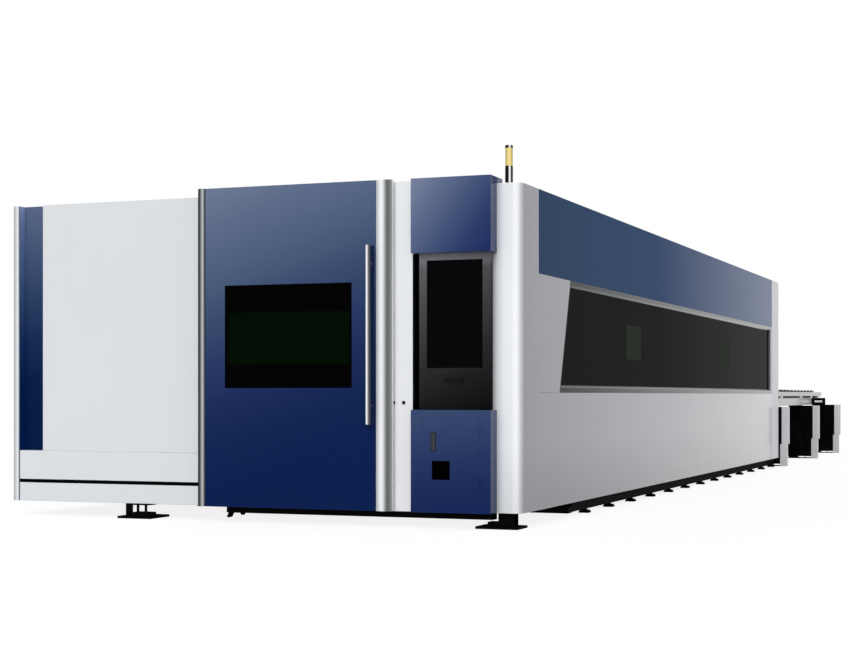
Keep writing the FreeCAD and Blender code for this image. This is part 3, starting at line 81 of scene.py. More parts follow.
class Graph:
    """A material with a Principled shader and short calls for its nodes."""

    def __init__(self, name):
        self.material = bpy.data.materials.new(name)
        self.material.use_nodes = True
        self.tree = self.material.node_tree
        self.shader = self.tree.nodes["Principled BSDF"]
        self.coords = self.tree.nodes.new("ShaderNodeTexCoord")

    def node(self, kind, **values):
        made = self.tree.nodes.new(kind)
        for key, value in values.items():
            setattr(made, key, value)
        return made

    def link(self, source, target):
        self.tree.links.new(source, target)

    def set(self, **values):
        names = {"rough": "Roughness", "metal": "Metallic", "spec": "Specular IOR Level",
                 "coat": "Coat Weight", "coat_rough": "Coat Roughness"}
        for key, value in values.items():
            self.shader.inputs[names[key]].default_value = value
        return self

    def noise(self, scale, detail=3.0, stretch=(1, 1, 1)):
        mapping = self.node("ShaderNodeMapping")
        mapping.inputs["Scale"].default_value = stretch
        self.link(self.coords.outputs["Object"], mapping.inputs["Vector"])
        made = self.node("ShaderNodeTexNoise")
        made.inputs["Scale"].default_value = scale
        made.inputs["Detail"].default_value = detail
        self.link(mapping.outputs["Vector"], made.inputs["Vector"])
        return made.outputs["Fac"]

    def spread(self, factor, low, high, start=0.0, end=1.0):
        made = self.node("ShaderNodeMapRange")
        made.inputs["From Min"].default_value = start
        made.inputs["From Max"].default_value = end
        made.inputs["To Min"].default_value = low
        made.inputs["To Max"].default_value = high
        self.link(factor, made.inputs["Value"])
        return made.outputs["Result"]

    def distance(self, axis):
        """How far a point lies along a direction, in metres."""
        dot = self.node("ShaderNodeVectorMath", operation="DOT_PRODUCT")
        dot.inputs[1].default_value = axis
        self.link(self.coords.outputs["Object"], dot.inputs[0])
        return dot.outputs["Value"]

    def ramp(self, axis, stops):
        """Colours at stated distances along a direction, blended between them."""
        start, end = stops[0][0], stops[-1][0]
        made = self.node("ShaderNodeValToRGB")
        points = made.color_ramp.elements
        while len(points) < len(stops):
            points.new(0.5)
        for point, (place, colour) in zip(points, stops):
            point.position = (place - start) / (end - start)
            point.color = tone(*colour)
        self.link(self.spread(self.distance(axis), 0.0, 1.0, start, end), made.inputs["Fac"])
        return made.outputs["Color"]

    def scaled(self, colour, value):
        """The colour, with its brightness multiplied by value."""
        made = self.node("ShaderNodeHueSaturation")
        if isinstance(colour, tuple):
            made.inputs["Color"].default_value = colour
        else:
            self.link(colour, made.inputs["Color"])
        self.link(value, made.inputs["Value"])
        return made.outputs["Color"]

    def mottle(self, colour, scale, amount, detail=3.0, stretch=(1, 1, 1)):
        """The colour, lighter and darker by amount where a noise says so."""
        return self.scaled(colour, self.spread(self.noise(scale, detail, stretch), 1 - amount, 1 + amount))

    def bump(self, factor, strength, distance):
        made = self.node("ShaderNodeBump")
        made.inputs["Strength"].default_value = strength
        made.inputs["Distance"].default_value = distance
        self.link(factor, made.inputs["Height"])
        self.link(made.outputs["Normal"], self.shader.inputs["Normal"])

    def base(self, colour):
        self.link(colour, self.shader.inputs["Base Color"])

    def roughness(self, factor, low, high):
        self.link(self.spread(factor, low, high), self.shader.inputs["Roughness"])


def body_colour(g, colour, by_height):
    """One display colour, or an axis and the colours at distances along it.

    by_height is a low and a high level and the brightness at each: painted shade that darkens a
    piece near the floor, and painted light that lifts a piece below a hood against the hood's shade.
    """
    body = tone(*colour) if isinstance(colour[0], (int, float)) else g.ramp(*colour)
    if by_height:
        start, end, low, high = by_height
        body = g.scaled(body, g.spread(g.distance(UP), low, high, start, end))
    return body


# Noise scales: about as many marks to the metre.
CLOUDS = 0.9
PAINT_GRAIN = 260.0
ORANGE_PEEL = 420.0
METAL_MARKS = 160.0
PLASTIC_GRAIN = 900.0


def paint(name, colour, rough=0.42, spec=0.1, coat=0.0, flakes=0.015, by_height=None):
    """Powder coat: faint cloudiness, a fine grain and an orange-peel surface."""
    g = Graph(name).set(spec=spec, coat=coat, coat_rough=0.12)
    body = body_colour(g, colour, by_height)
    g.base(g.mottle(g.mottle(body, CLOUDS, 0.015), PAINT_GRAIN, flakes))
    g.roughness(g.noise(5.0), rough - 0.05, rough + 0.07)
    g.bump(g.noise(ORANGE_PEEL, 2.0), 0.06, 0.0006)
    return g.material


def metal(name, colour, rough, metallic=1.0, stretch=(1, 1, 1), grain=0.08, streaks=0.04, spec=0.5):
    """Metal with fine marks drawn out along one direction; with metallic 0 its tones are painted."""
    g = Graph(name).set(metal=metallic, spec=spec)
    body = body_colour(g, colour, None)
    marks = g.noise(METAL_MARKS, 4.0, stretch)
    g.base(g.mottle(g.mottle(body, METAL_MARKS, grain, 4.0, stretch), 2.0, 0.03))
    g.roughness(marks, max(rough - streaks, 0.02), rough + streaks)
    g.bump(marks, 0.08, 0.0004)
    return g.material


def plastic(name, colour, rough=0.45, spec=0.2, grain=0.04):
    g = Graph(name).set(spec=spec)
    body = body_colour(g, colour, None)
    g.base(g.mottle(body, 8.0, grain))
    g.roughness(g.noise(60.0), rough - 0.05, rough + 0.08)
    g.bump(g.noise(PLASTIC_GRAIN, 2.0), 0.08, 0.0003)
    return g.material


def glazing(name, colour, coat=0.04):
    """Glass in front of a dark cabin, drawn opaque in the tone that shows, with a faint clear gloss."""
    g = Graph(name).set(spec=0.0, coat=coat, coat_rough=0.03)
    body = body_colour(g, colour, None)
    g.base(g.mottle(body, 1.5, 0.08, 2.0))
    g.roughness(g.noise(3.0), 0.3, 0.36)
    return g.material


def even(axis, start, end, colours):
    """Colours at equal steps from one distance to another."""
    step = (end - start) / (len(colours) - 1)
    return axis, [(start + i * step, colour) for i, colour in enumerate(colours)]


# ------------------------------------------------------------------ finishes
SIDE_START = FRONT + 0.4   # the side's long colours run from here to
SIDE_END = FRONT + 10.4    # here

WHITE = paint("paint_white", (222, 225, 227))
# The door column's white is painted faintly lighter towards the top: painted light.
COLUMN = paint("paint_column", even(UP, 0.5, 2.3, [(233, 234, 236), (232, 234, 236), (235, 237, 239)]))
# The left trim is painted with a highlight down its rounded front, painted shade at its outer edge, and a dark
# blue painted shade at its inner edge beside the strip.
TRIM_LIGHT_AND_SHADE = paint("paint_trim_light_and_shade", (ACROSS, [
    (-2.080, (176, 177, 179)), (-2.064, (182, 183, 185)), (-2.056, (195, 196, 198)),
    (-2.047, (213, 215, 217)), (-2.039, (229, 231, 233)), (-2.033, (228, 231, 234)),
    (-2.028, (192, 197, 206)), (-2.024, (60, 68, 84)), (-2.022, (30, 38, 56))]))
# The corner column is painted with shade beside the console's niche, a highlight where it rounds the corner,
# darker paint on its side face for the shade there, and painted shade near the floor.
CORNER_LIGHT_AND_SHADE = paint("paint_corner_light_and_shade", ((1.0, 1.0, 0.0), [
    (FRONT + 1.868, (152, 154, 158)), (FRONT + 1.881, (170, 172, 176)), (FRONT + 1.896, (197, 199, 202)),
    (FRONT + 1.910, (213, 215, 217)), (FRONT + 1.925, (222, 224, 226)), (FRONT + 1.940, (231, 233, 235)),
    (FRONT + 1.954, (237, 239, 241)), (FRONT + 2.000, (239, 241, 243)), (FRONT + 2.034, (251, 252, 253)),
    (FRONT + 2.060, (240, 242, 243)), (FRONT + 2.084, (212, 213, 216)), (FRONT + 2.108, (194, 195, 198)),
    (FRONT + 2.135, (176, 177, 181)), (FRONT + 2.480, (182, 183, 187))]), by_height=(0.15, 0.6, 0.84, 1.0))
REAR_COLUMN = paint("paint_rear_column", (236, 237, 240), rough=0.4, spec=0.06)
# The side wall is painted lighter towards its far end, a painted sheen beside its real gloss, and painted
# shade darkens it near the floor.
WALL_SHEEN_AND_SHADE = paint("paint_wall_sheen_and_shade", even(ALONG, SIDE_START, SIDE_END, [
    (182, 183, 187), (186, 187, 191), (194, 195, 198)]), by_height=(0.15, 0.6, 0.79, 1.0))
BARS = paint("paint_window_bars", (90, 91, 94), spec=0.0)
SHEET = paint("paint_sheet", (206, 208, 211))
BLACK = paint("paint_black", (9, 9, 10), rough=0.5, spec=0.0, coat=0.03)
TABLE = paint("paint_table", (188, 189, 191))
PALLET = paint("paint_pallet", (184, 185, 187))
POST = paint("paint_post", (200, 201, 203))
BED = paint("paint_bed", (120, 124, 128), rough=0.5, spec=0.3)
GANTRY = paint("paint_gantry", (190, 192, 196), spec=0.4)
DRIVE = paint("paint_drive", (70, 74, 80), rough=0.45, spec=0.3)
EQUIPMENT = paint("paint_equipment", (196, 198, 200), rough=0.45, spec=0.4)
HOUSING = paint("paint_housing", (3, 3, 4), rough=0.6, spec=0.0, coat=0.02)

# The blues grow darker along each panel, as the room's light falls off there in the photograph.
BLUE_FINISH = {"rough": 0.36, "spec": 0.03, "flakes": 0.03}
STRIP_TOP = -2.404
STRIP_LOW = -0.7
DOOR_BLUE = paint("blue_door", even((0.33, 0.0, -1.0), -2.55, -0.32, [
    (110, 122, 147), (92, 107, 136), (77, 95, 125), (60, 76, 111), (41, 60, 101), (27, 45, 90), (16, 36, 82),
    (10, 31, 78)]), **BLUE_FINISH)
STRIP_BLUE = paint("blue_strip", even(DOWN, STRIP_TOP, STRIP_LOW, [
    (90, 104, 134), (68, 86, 118), (45, 66, 101), (22, 43, 83), (6, 30, 71), (3, 27, 68)]), **BLUE_FINISH)
# The trim's right faces take a blue painted with shade that darkens downwards, lighter than the strip's blue
# against the shade that they stand in.
STRIP_RETURN = paint("blue_strip_return", even(DOWN, STRIP_TOP, STRIP_LOW, [
    (150, 172, 218), (115, 143, 194), (78, 111, 166), (41, 73, 137), (14, 53, 118), (9, 48, 113)]),
    rough=0.36, spec=0.0)
HOOD_BLUE = paint("blue_hood", even((1.0, 0.0, -0.76), -0.55, 0.43, [
    (122, 132, 158), (96, 109, 141), (70, 85, 122), (44, 61, 105), (26, 42, 94)]), **BLUE_FINISH)
CABINET_BLUE = paint("blue_cabinet", even((0.12, 0.0, -1.0), -0.66, 0.08, [
    (59, 74, 111), (49, 65, 105), (37, 54, 97), (27, 45, 91), (21, 39, 87)]), **BLUE_FINISH)
# The blue band is painted lighter towards its far end: a painted sheen beside its real gloss.
BAND_BLUE_SHEEN = paint("blue_band_sheen", even(ALONG, SIDE_START, SIDE_END, [
    (53, 79, 112), (60, 85, 124), (62, 88, 131), (64, 91, 138)]), rough=0.34, spec=0.0, flakes=0.03)
# The bezel is painted with shade that darkens towards its bottom and its right, and is painted lighter under
# the hood, against the shade that the hood casts on it.
BEZEL = paint("paint_bezel", even((-0.486, 0.0, 1.0), -0.05, 1.19, [
    (10, 10, 11), (27, 27, 28), (43, 43, 45), (60, 60, 62), (77, 77, 79), (96, 96, 99)]),
    rough=0.5, spec=0.02, by_height=(1.82, 1.92, 1.0, 2.5))


# The profiles, the bar and the lamp are painted with the bands that they mirror in the photograph,
# so they stay the same from every side, and under every light. Their stops, like those of the left
# trim and the corner column, were set against single pixels there. They are denser than the forms
# need, and are best thinned to 4 to 8 rounded stops each.
UPRIGHT_MARKS = (1, 1, 0.02)
PROFILE = metal("anodised_profile", (ACROSS, [
    (-0.387, (20, 21, 23)), (-0.376, (28, 29, 31)), (-0.367, (50, 52, 54)), (-0.356, (98, 99, 101)),
    (-0.346, (160, 162, 163)), (-0.339, (198, 200, 200)), (-0.331, (118, 121, 121)), (-0.325, (24, 28, 36)),
    (1.035, (212, 214, 218)), (1.051, (208, 210, 213)), (1.059, (215, 216, 218)), (1.066, (238, 239, 240)),
    (1.079, (248, 249, 249)), (1.091, (244, 245, 245)), (1.101, (220, 221, 221)), (1.109, (182, 184, 183)),
    (1.117, (142, 144, 143)), (1.125, (110, 112, 112)), (1.132, (102, 104, 104)), (1.140, (118, 120, 120)),
    (1.150, (132, 134, 134)), (1.158, (165, 167, 167))]),
    rough=0.4, metallic=0.0, stretch=UPRIGHT_MARKS, grain=0.03, spec=0.0)
# The profiles' right faces are painted near white: a painted highlight on faces that little light reaches.
PROFILE_EDGE_HIGHLIGHT = metal("anodised_edge_highlight", (250, 250, 250),
                     rough=0.4, metallic=0.0, stretch=UPRIGHT_MARKS, grain=0.02, spec=0.1)
STEEL_BAR = metal("polished_bar", (ACROSS, [
    (0.985, (150, 151, 154)), (0.990, (250, 251, 252)), (0.996, (255, 255, 255)), (1.002, (248, 249, 250)),
    (1.009, (122, 124, 127)), (1.016, (80, 82, 88)), (1.023, (20, 26, 40))]),
    rough=0.3, metallic=0.0, stretch=UPRIGHT_MARKS, grain=0.02, spec=0.3)
ZINC = metal("zinc_plate", (170, 174, 178), rough=0.38, metallic=0.9)
GROUND = metal("ground_steel", (178, 180, 182), rough=0.22, stretch=(0.02, 0.02, 1), grain=0.06)
ALLOY = metal("machined_alloy", (190, 191, 194), rough=0.32, metallic=0.9, stretch=(1, 0.05, 1), grain=0.05)
SLAT = metal("slat_steel", (44, 40, 38), rough=0.65, metallic=0.2, grain=0.25, streaks=0.1, spec=0.05)
HEAD = metal("head_alloy", (120, 124, 130), rough=0.3, metallic=0.8, grain=0.04)
COPPER = metal("nozzle_copper", (190, 112, 72), rough=0.25, grain=0.05)

# The strip behind the handle bar is painted a darker blue than the door: painted shade behind the bar.
HANDLE_STRIP_SHADE = plastic("handle_strip_shade", (23, 41, 82), rough=0.7, spec=0.05)
VENT = plastic("vent_black", (2, 2, 3), rough=0.6, spec=0.0)
DARK = plastic("plastic_dark", (16, 16, 18), rough=0.5, spec=0.05)
LEVER = plastic("lever_dark", (52, 58, 58), rough=0.5, spec=0.1)
BUTTON = plastic("button_dark", (8, 9, 11), rough=0.4, spec=0.05)

LAMP_LOW, LAMP_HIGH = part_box("lamp_housing")
LAMP_X = (LAMP_LOW[0] + LAMP_HIGH[0]) / 2
LAMP_Y = (LAMP_LOW[1] + LAMP_HIGH[1]) / 2
LAMP_WIDTH = (0.95, 0.31, 0.0)
LAMP_MIDDLE = LAMP_X * LAMP_WIDTH[0] + LAMP_Y * LAMP_WIDTH[1]


def across_lamp(*stops):
    """Colours at distances to either side of the lamp's axis."""
    return LAMP_WIDTH, [(LAMP_MIDDLE + place, colour) for place, colour in stops]


LAMP_BLACK = plastic("lamp_black", across_lamp(
    (-0.0275, (3, 3, 3)), (-0.0065, (16, 16, 16)), (-0.0029, (118, 116, 117)), (0.0030, (255, 254, 254)),
    (0.0085, (252, 250, 251)), (0.0115, (165, 163, 164)), (0.0160, (26, 25, 26)), (0.0275, (4, 4, 4))),
    rough=0.3, spec=0.05)
AMBER = plastic("lamp_amber", across_lamp(
    (-0.0265, (204, 180, 108)), (-0.0137, (222, 200, 124)), (-0.0029, (245, 226, 152)),
    (0.0050, (246, 226, 152)), (0.0116, (236, 210, 130)), (0.0189, (216, 190, 115)),
    (0.0265, (204, 176, 104))), rough=0.25, spec=0.1, grain=0.02)
PANE = glazing("pane_black", (2, 2, 3), coat=0.02)
GREEN = glazing("pane_green", (1, 13, 2), coat=0.02)
GLASS = glazing("glass_dark", (17, 17, 18))
VIEW = glazing("glass_view", (46, 53, 45), coat=0.03)
SCREEN = glazing("glass_screen", (6, 7, 8), coat=0.02)


# How flat the camera looks at each surface: Layer Weight's facing, fitted to this camera's place.
SIDE_FRONT = 0.7055       # side wall, at its near end
BAND_FRONT = 0.775        # blue band and dark glass, at their near end
SIDE_REAR = 0.8373        # side wall, at its far end
HOOD_FROM, HOOD_TO = 0.45, 0.70
EDGE_FROM, EDGE_TO = 0.6, 0.68


def mirror_when_grazed(material, start, end, low, high):
    """Smooth paint and glass mirror the room more, the flatter they are looked at."""
    tree = material.node_tree
    facing = tree.nodes.new("ShaderNodeLayerWeight")
    facing.inputs["Blend"].default_value = 0.5
    made = tree.nodes.new("ShaderNodeMapRange")
    for key, value in zip(("From Min", "From Max", "To Min", "To Max"), (start, end, low, high)):
        made.inputs[key].default_value = value
    tree.links.new(facing.outputs["Facing"], made.inputs["Value"])
    tree.links.new(made.outputs["Result"], tree.nodes["Principled BSDF"].inputs["Coat Weight"])


mirror_when_grazed(WALL_SHEEN_AND_SHADE, SIDE_FRONT, SIDE_REAR, 0.0, 0.9)
mirror_when_grazed(BARS, SIDE_FRONT, SIDE_REAR, 0.0, 1.0)
mirror_when_grazed(BAND_BLUE_SHEEN, BAND_FRONT, SIDE_REAR, 0.06, 0.5)
mirror_when_grazed(GLASS, BAND_FRONT, SIDE_REAR, 0.05, 0.10)
for grazed in (HOOD_BLUE, CABINET_BLUE):
    mirror_when_grazed(grazed, HOOD_FROM, HOOD_TO, 0.0, 0.65)
mirror_when_grazed(PROFILE_EDGE_HIGHLIGHT, EDGE_FROM, EDGE_TO, 0.0, 1.0)
for grazed in (TABLE, PALLET, POST):
    mirror_when_grazed(grazed, SIDE_FRONT, SIDE_REAR, 0.0, 0.5)

SHOWN = {
    "left_trim": TRIM_LIGHT_AND_SHADE, "front_wall_panels": WHITE, "door_column": COLUMN, "corner_column": CORNER_LIGHT_AND_SHADE,
    "side_walls": WALL_SHEEN_AND_SHADE, "rear_columns": REAR_COLUMN, "side_window_frame": BARS, "side_bands": BAND_BLUE_SHEEN,
    "door_leaf": DOOR_BLUE, "recess_strip": STRIP_BLUE, "console_hood": HOOD_BLUE,
    "console_cabinet": CABINET_BLUE, "cabinet_door": CABINET_BLUE, "roof_panels": SHEET,
    "rear_wall": SHEET, "cell_bulkhead": SHEET, "lift_door": SHEET, "base_frame": BLACK,
    "front_feet": BLACK, "levelling_feet": BLACK, "table_trestles": BLACK, "door_profiles": PROFILE,
    "door_pane": PANE, "door_window": GREEN, "viewing_windows": VIEW, "side_glass": GLASS,
    "door_handle": STEEL_BAR, "door_handle_strip": HANDLE_STRIP_SHADE, "door_tracks": BLACK, "door_hangers": ZINC,
    "lift_guides": ZINC, "dust_outlet": ZINC, "console_face": BEZEL, "drawer": BEZEL,
    "console_housing": HOUSING, "console_screen": SCREEN, "drawer_pull": DARK, "lock_lever": LEVER,
    "cabinet_vent": VENT, "button_left": BUTTON, "button_right": BUTTON, "lamp_housing": LAMP_BLACK,
    "lamp_lens": AMBER, "bed": BED, "y_rails": GROUND, "x_rails": GROUND, "gantry_beam": GANTRY,
    "gantry_saddles": GANTRY, "x_carriage": ALLOY, "z_slide": ALLOY, "cutting_head": HEAD,
    "upper_pallet": PALLET, "lower_pallet": PALLET, "upper_slats": SLAT, "lower_slats": SLAT,
    "table_rails": TABLE, "table_posts": POST, "table_drive": DRIVE, "laser_source": EQUIPMENT,
    "electrical_cabinet": EQUIPMENT,
}

for node_name, shown_material in SHOWN.items():
    slots = NODES[node_name].data.materials
    slots.clear()
    slots.append(shown_material)


# ------------------------------------------------------------------ pieces made in mesh code
def finish_mesh(name, bm, body, material, sharp=32.0):
    mesh = bpy.data.meshes.new(name)
    bm.to_mesh(mesh)
    bm.free()
    for polygon in mesh.polygons:
        polygon.use_smooth = True
    mesh.set_sharp_from_angle(angle=math.radians(sharp))
    mesh.materials.append(material)
    piece = bpy.data.objects.new(name, mesh)
    bpy.context.scene.collection.objects.link(piece)
    piece.modifiers.new("flat_faces_stay_flat", "WEIGHTED_NORMAL").keep_sharp = True
    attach(piece, body)
    return piece


def soften(bm, width, segments=2, angle=35.0):
    edges = [e for e in bm.edges if len(e.link_faces) == 2 and e.calc_face_angle() > math.radians(angle)]
    bmesh.ops.bevel(bm, geom=edges, offset=width, segments=segments, profile=0.5, affect="EDGES",
                    clamp_overlap=True)


def refined(node, width, segments=2, angle=35.0, right_faces=None):
    """The node's own shape again, with its sharp edges broken.

    Its faces that look right, along +X, can have a material of their own, for painted light and shade.
    """
    source = NODES[node]
    bm = bmesh.new()
    bm.from_mesh(source.data)
    bmesh.ops.remove_doubles(bm, verts=bm.verts, dist=0.00001)
    bmesh.ops.dissolve_limit(bm, angle_limit=math.radians(0.5), verts=bm.verts, edges=bm.edges)
    soften(bm, width, segments, angle)
    if right_faces:
        bm.normal_update()
        for face in bm.faces:
            face.material_index = 1 if face.normal.x > 0.95 else 0
    piece = finish_mesh(node + "_shown", bm, source["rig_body"], SHOWN[node])
    if right_faces:
        piece.data.materials.append(right_faces)
    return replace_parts(piece, node)


BROKEN_EDGES = {
    "front_wall_panels": 0.003, "corner_column": 0.003,
    "side_walls": 0.002, "side_bands": 0.002, "rear_columns": 0.003, "rear_wall": 0.003,
    "roof_panels": 0.002, "console_hood": 0.002, "console_cabinet": 0.0015, "cabinet_door": 0.001,
    "console_face": 0.0012, "drawer": 0.0012, "door_leaf": 0.002, "side_window_frame": 0.0015,
    "base_frame": 0.003, "table_trestles": 0.003, "table_posts": 0.003, "table_rails": 0.003,
    "upper_pallet": 0.002, "lower_pallet": 0.002, "gantry_beam": 0.004, "lift_door": 0.003,
    "cell_bulkhead": 0.003, "front_feet": 0.0015, "door_handle": 0.0015, "button_left": 0.0012,
    "button_right": 0.0012, "drawer_pull": 0.0015, "lock_lever": 0.0012, "door_pane": 0.001,
    "gantry_saddles": 0.002, "x_carriage": 0.0015, "z_slide": 0.0015, "table_drive": 0.002,
    "laser_source": 0.004, "electrical_cabinet": 0.004, "bed": 0.003, "lift_guides": 0.001,
}
for node_name, edge in BROKEN_EDGES.items():
    refined(node_name, edge)
# The trim's right faces: a blue with painted shade, darker downwards.
refined("left_trim", 0.002, right_faces=STRIP_RETURN)
# The door column's right faces, inside the console's niche, are painted black: painted shade.
refined("door_column", 0.003, right_faces=BLACK)
# The profiles' right faces are painted near white: a painted highlight.
refined("door_profiles", 0.0015, right_faces=PROFILE_EDGE_HIGHLIGHT)


# ------------------------------------------------------------------ fine parts
class Form:
    """A mesh put together from turned, straight and toothed solids, in the part's own frame."""

    def __init__(self):
        self.bm = bmesh.new()

    def skin(self, rings, closed=False):
        """Quads between rings of corners, with the two end rings filled in unless it closes up."""
        count = len(rings[0])
        pairs = list(zip(rings, rings[1:] + rings[:1] if closed else rings[1:]))
        for below, above in pairs:
            for i in range(count):
                j = (i + 1) % count
                self.bm.faces.new((below[i], below[j], above[j], above[i]))
        if not closed:
            self.bm.faces.new(rings[0][::-1])
            self.bm.faces.new(rings[-1])

    def turned(self, x, y, profile, sides=24, hollow=False, first=0.0):
        """A solid round the upright line through x, y; profile is (radius, height) pairs.

        A hollow one's profile goes once round its wall.
        """
        rings = []
        for radius, height in profile:
            ring = []
            for i in range(sides):
                turn = math.radians(first) + 2 * math.pi * i / sides
                place = (x + radius * math.cos(turn), y + radius * math.sin(turn), height)
                ring.append(self.bm.verts.new(place))
            rings.append(ring)
        self.skin(rings, hollow)

    def block(self, low, high):
        corners = [(low[0], low[1]), (high[0], low[1]), (high[0], high[1]), (low[0], high[1])]
        self.skin([[self.bm.verts.new((x, y, z)) for x, y in corners] for z in (low[2], high[2])])

    def rail(self, outline, x, z, y_low, y_high):
        """A straight bar along Y with an outline of (x, z) points."""
        self.skin([[self.bm.verts.new((x + a, y, z + b)) for a, b in outline] for y in (y_low, y_high)])

    def comb(self, start, end, sides, low, root, tip, teeth, place, flat=0.2, half_on=False):
        """A strip with teeth along its top; place turns (run, side, height) into a point.

        flat is the share of the pitch that a tooth's top takes. half_on starts with half a tooth.
        """
        pitch = (end - start) / teeth
        crown = flat * pitch / 2
        top = []
        for i in range(2 * teeth + 1):
            run = start + i * pitch / 2
            if (i % 2 == 1) == half_on:
                top.append((run, root))
            else:
                top += [(max(run - crown, start), tip), (min(run + crown, end), tip)]
        if half_on:
            top = top[1:-1]
        rows = []
        for side, height_of in ((0, 0), (0, 1), (1, 1), (1, 0)):
            rows.append([self.bm.verts.new(place(run, sides[side], height if height_of else low))
                         for run, height in top])
        last = len(top) - 1
        for a, b in ((0, 1), (1, 2), (2, 3), (3, 0)):
            for i in range(last):
                self.bm.faces.new((rows[a][i], rows[a][i + 1], rows[b][i + 1], rows[b][i]))
        for i in (0, last):
            self.bm.faces.new([row[i] for row in rows])

    def piece(self, name, body, slot, material, edge=0.0, sharp=32.0):
        bmesh.ops.recalc_face_normals(self.bm, faces=self.bm.faces)
        if edge:
            soften(self.bm, edge)
        return finish_mesh(name, self.bm, body, material, sharp)


def spaced(low, high, count):
    step = (high - low) / (count - 1)
    return [low + i * step for i in range(count)]


def raised(profile, level, radius=1.0):
    """A turned profile with its heights counted from a level, and its radii times radius."""
    return [(radius * out, level + height) for out, height in profile]


# ---- levelling feet: a stepped shoe, a hexagon nut and the end of its stud ----
FOOT_COUNT = 13
SHOE = 0.080
SHOE_RIM = 0.012            # the upright rim ends and the slope starts
SHOE_SLOPE_TOP = 0.020
SHOE_TOP = 0.024
SHOE_TAPER = 0.8
NUT_RADIUS = 0.019
NUT_CHAMFERED = 0.0175
NUT_CHAMFER = 0.0012
NUT_TOP = 0.033
STUD_RADIUS = 0.010
STUD_TOP = 0.035


def levelling_feet():
    low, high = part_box("levelling_feet")
    half = SHOE / 2
    corner = half * math.sqrt(2)
    slope = corner * SHOE_TAPER
    shoe = [(corner, 0.0), (corner, SHOE_RIM), (slope, SHOE_SLOPE_TOP), (slope, SHOE_TOP)]
    nut = [(NUT_CHAMFERED, SHOE_TOP), (NUT_RADIUS, SHOE_TOP + NUT_CHAMFER),
           (NUT_RADIUS, NUT_TOP - NUT_CHAMFER), (NUT_CHAMFERED, NUT_TOP)]
    stud = [(STUD_RADIUS, NUT_TOP), (STUD_RADIUS, STUD_TOP)]
    form = Form()
    for x in (low[0] + half, high[0] - half):
        for y in spaced(low[1] + half, high[1] - half, FOOT_COUNT):
            form.turned(x, y, shoe, 4, first=45.0)
            form.turned(x, y, nut, 6)
            form.turned(x, y, stud, 12)
    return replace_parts(form.piece("levelling_feet_shown", "machine", "frame_black", BLACK), "levelling_feet")


levelling_feet()


# ---- screws that hold the trestles to their sole plates ----
SOLE_TOP = 0.012
SOLE_DEPTH = 0.092
TRESTLE_DEPTH = 0.060
TRESTLE_FRONTS = (FRONT + 11.030, FRONT + 13.900, FRONT + 16.358)
TRESTLE_SCREWS = 41
ROW_END = 2.0               # the screw rows run as far to either side
FRONT_ROW = 0.018           # from the trestle's front
REAR_ROW = (TRESTLE_DEPTH + SOLE_DEPTH) / 2
PAD_PLACES = (0.42, 1.29, 1.83)
PAD_CLEAR = 0.085           # no screw in the front row stands nearer to a pad's middle
SCREW_HEAD = [(0.0095, 0.0), (0.0105, 0.001), (0.0105, 0.008), (0.009, 0.010)]


def trestle_screws():
    form = Form()
    head = raised(SCREW_HEAD, SOLE_TOP)
    for front in TRESTLE_FRONTS:
        for x in spaced(-ROW_END, ROW_END, TRESTLE_SCREWS):
            if min(abs(abs(x) - pad) for pad in PAD_PLACES) > PAD_CLEAR:
                form.turned(x, front + FRONT_ROW, head, 6)
            form.turned(x, front + REAR_ROW, head, 6)
    return form.piece("trestle_screws", "machine", "zinc_steel", ZINC)


trestle_screws()


# ---- slats with the row of teeth that the sheet rests on ----
SLAT_COUNT = 36
SLAT_THICK = 0.005
SLAT_TOOTH = 0.024
SLAT_PITCH = 0.05
SLAT_FLAT = 0.24


def toothed_slats(node):
    low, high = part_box(node)
    form = Form()
    teeth = round((high[0] - low[0]) / SLAT_PITCH)
    half = SLAT_THICK / 2
    for i, y in enumerate(spaced(low[1] + half, high[1] - half, SLAT_COUNT)):
        form.comb(low[0], high[0], (y - half, y + half), low[2], high[2] - SLAT_TOOTH, high[2], teeth,
                  lambda run, side, height: (run, side, height), SLAT_FLAT, i % 2 == 1)
    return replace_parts(form.piece(node + "_shown", NODES[node]["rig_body"], "slat_steel", SLAT), node)


toothed_slats("upper_slats")
toothed_slats("lower_slats")


# ---- guide rails with a waist, and gear racks with their teeth ----
RAIL_HALF = 0.017
RAIL_WAIST = 0.011
RAIL_SIDE = [(RAIL_HALF, 0.0), (RAIL_HALF, 0.009), (RAIL_WAIST, 0.013), (RAIL_WAIST, 0.020),
             (RAIL_HALF, 0.024), (RAIL_HALF, 0.030), (RAIL_HALF - 0.002, 0.032)]    # half width, height
RACK_FROM_EDGE = (0.059, 0.089)   # the rack, inside the rail's outer face
RACK_HEIGHT = 0.030
RACK_TOOTH = 0.006
RACK_PITCH = 0.02


def guide_rails():
    low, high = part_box("y_rails")
    outline = RAIL_SIDE + [(-x, z) for x, z in reversed(RAIL_SIDE)]
    root = low[2] + RACK_HEIGHT - RACK_TOOTH
    tip = low[2] + RACK_HEIGHT
    teeth = round((high[1] - low[1]) / RACK_PITCH)
    form = Form()
    for side in (-1, 1):
        form.rail(outline, side * (high[0] - RAIL_HALF), low[2], low[1], high[1])
        rack = [side * (high[0] - inside) for inside in RACK_FROM_EDGE]
        form.comb(low[1], high[1], rack, low[2], root, tip, teeth,
                  lambda run, across, height: (across, run, height))
    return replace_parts(form.piece("y_rails_shown", "machine", "ground_steel", GROUND), "y_rails")


guide_rails()


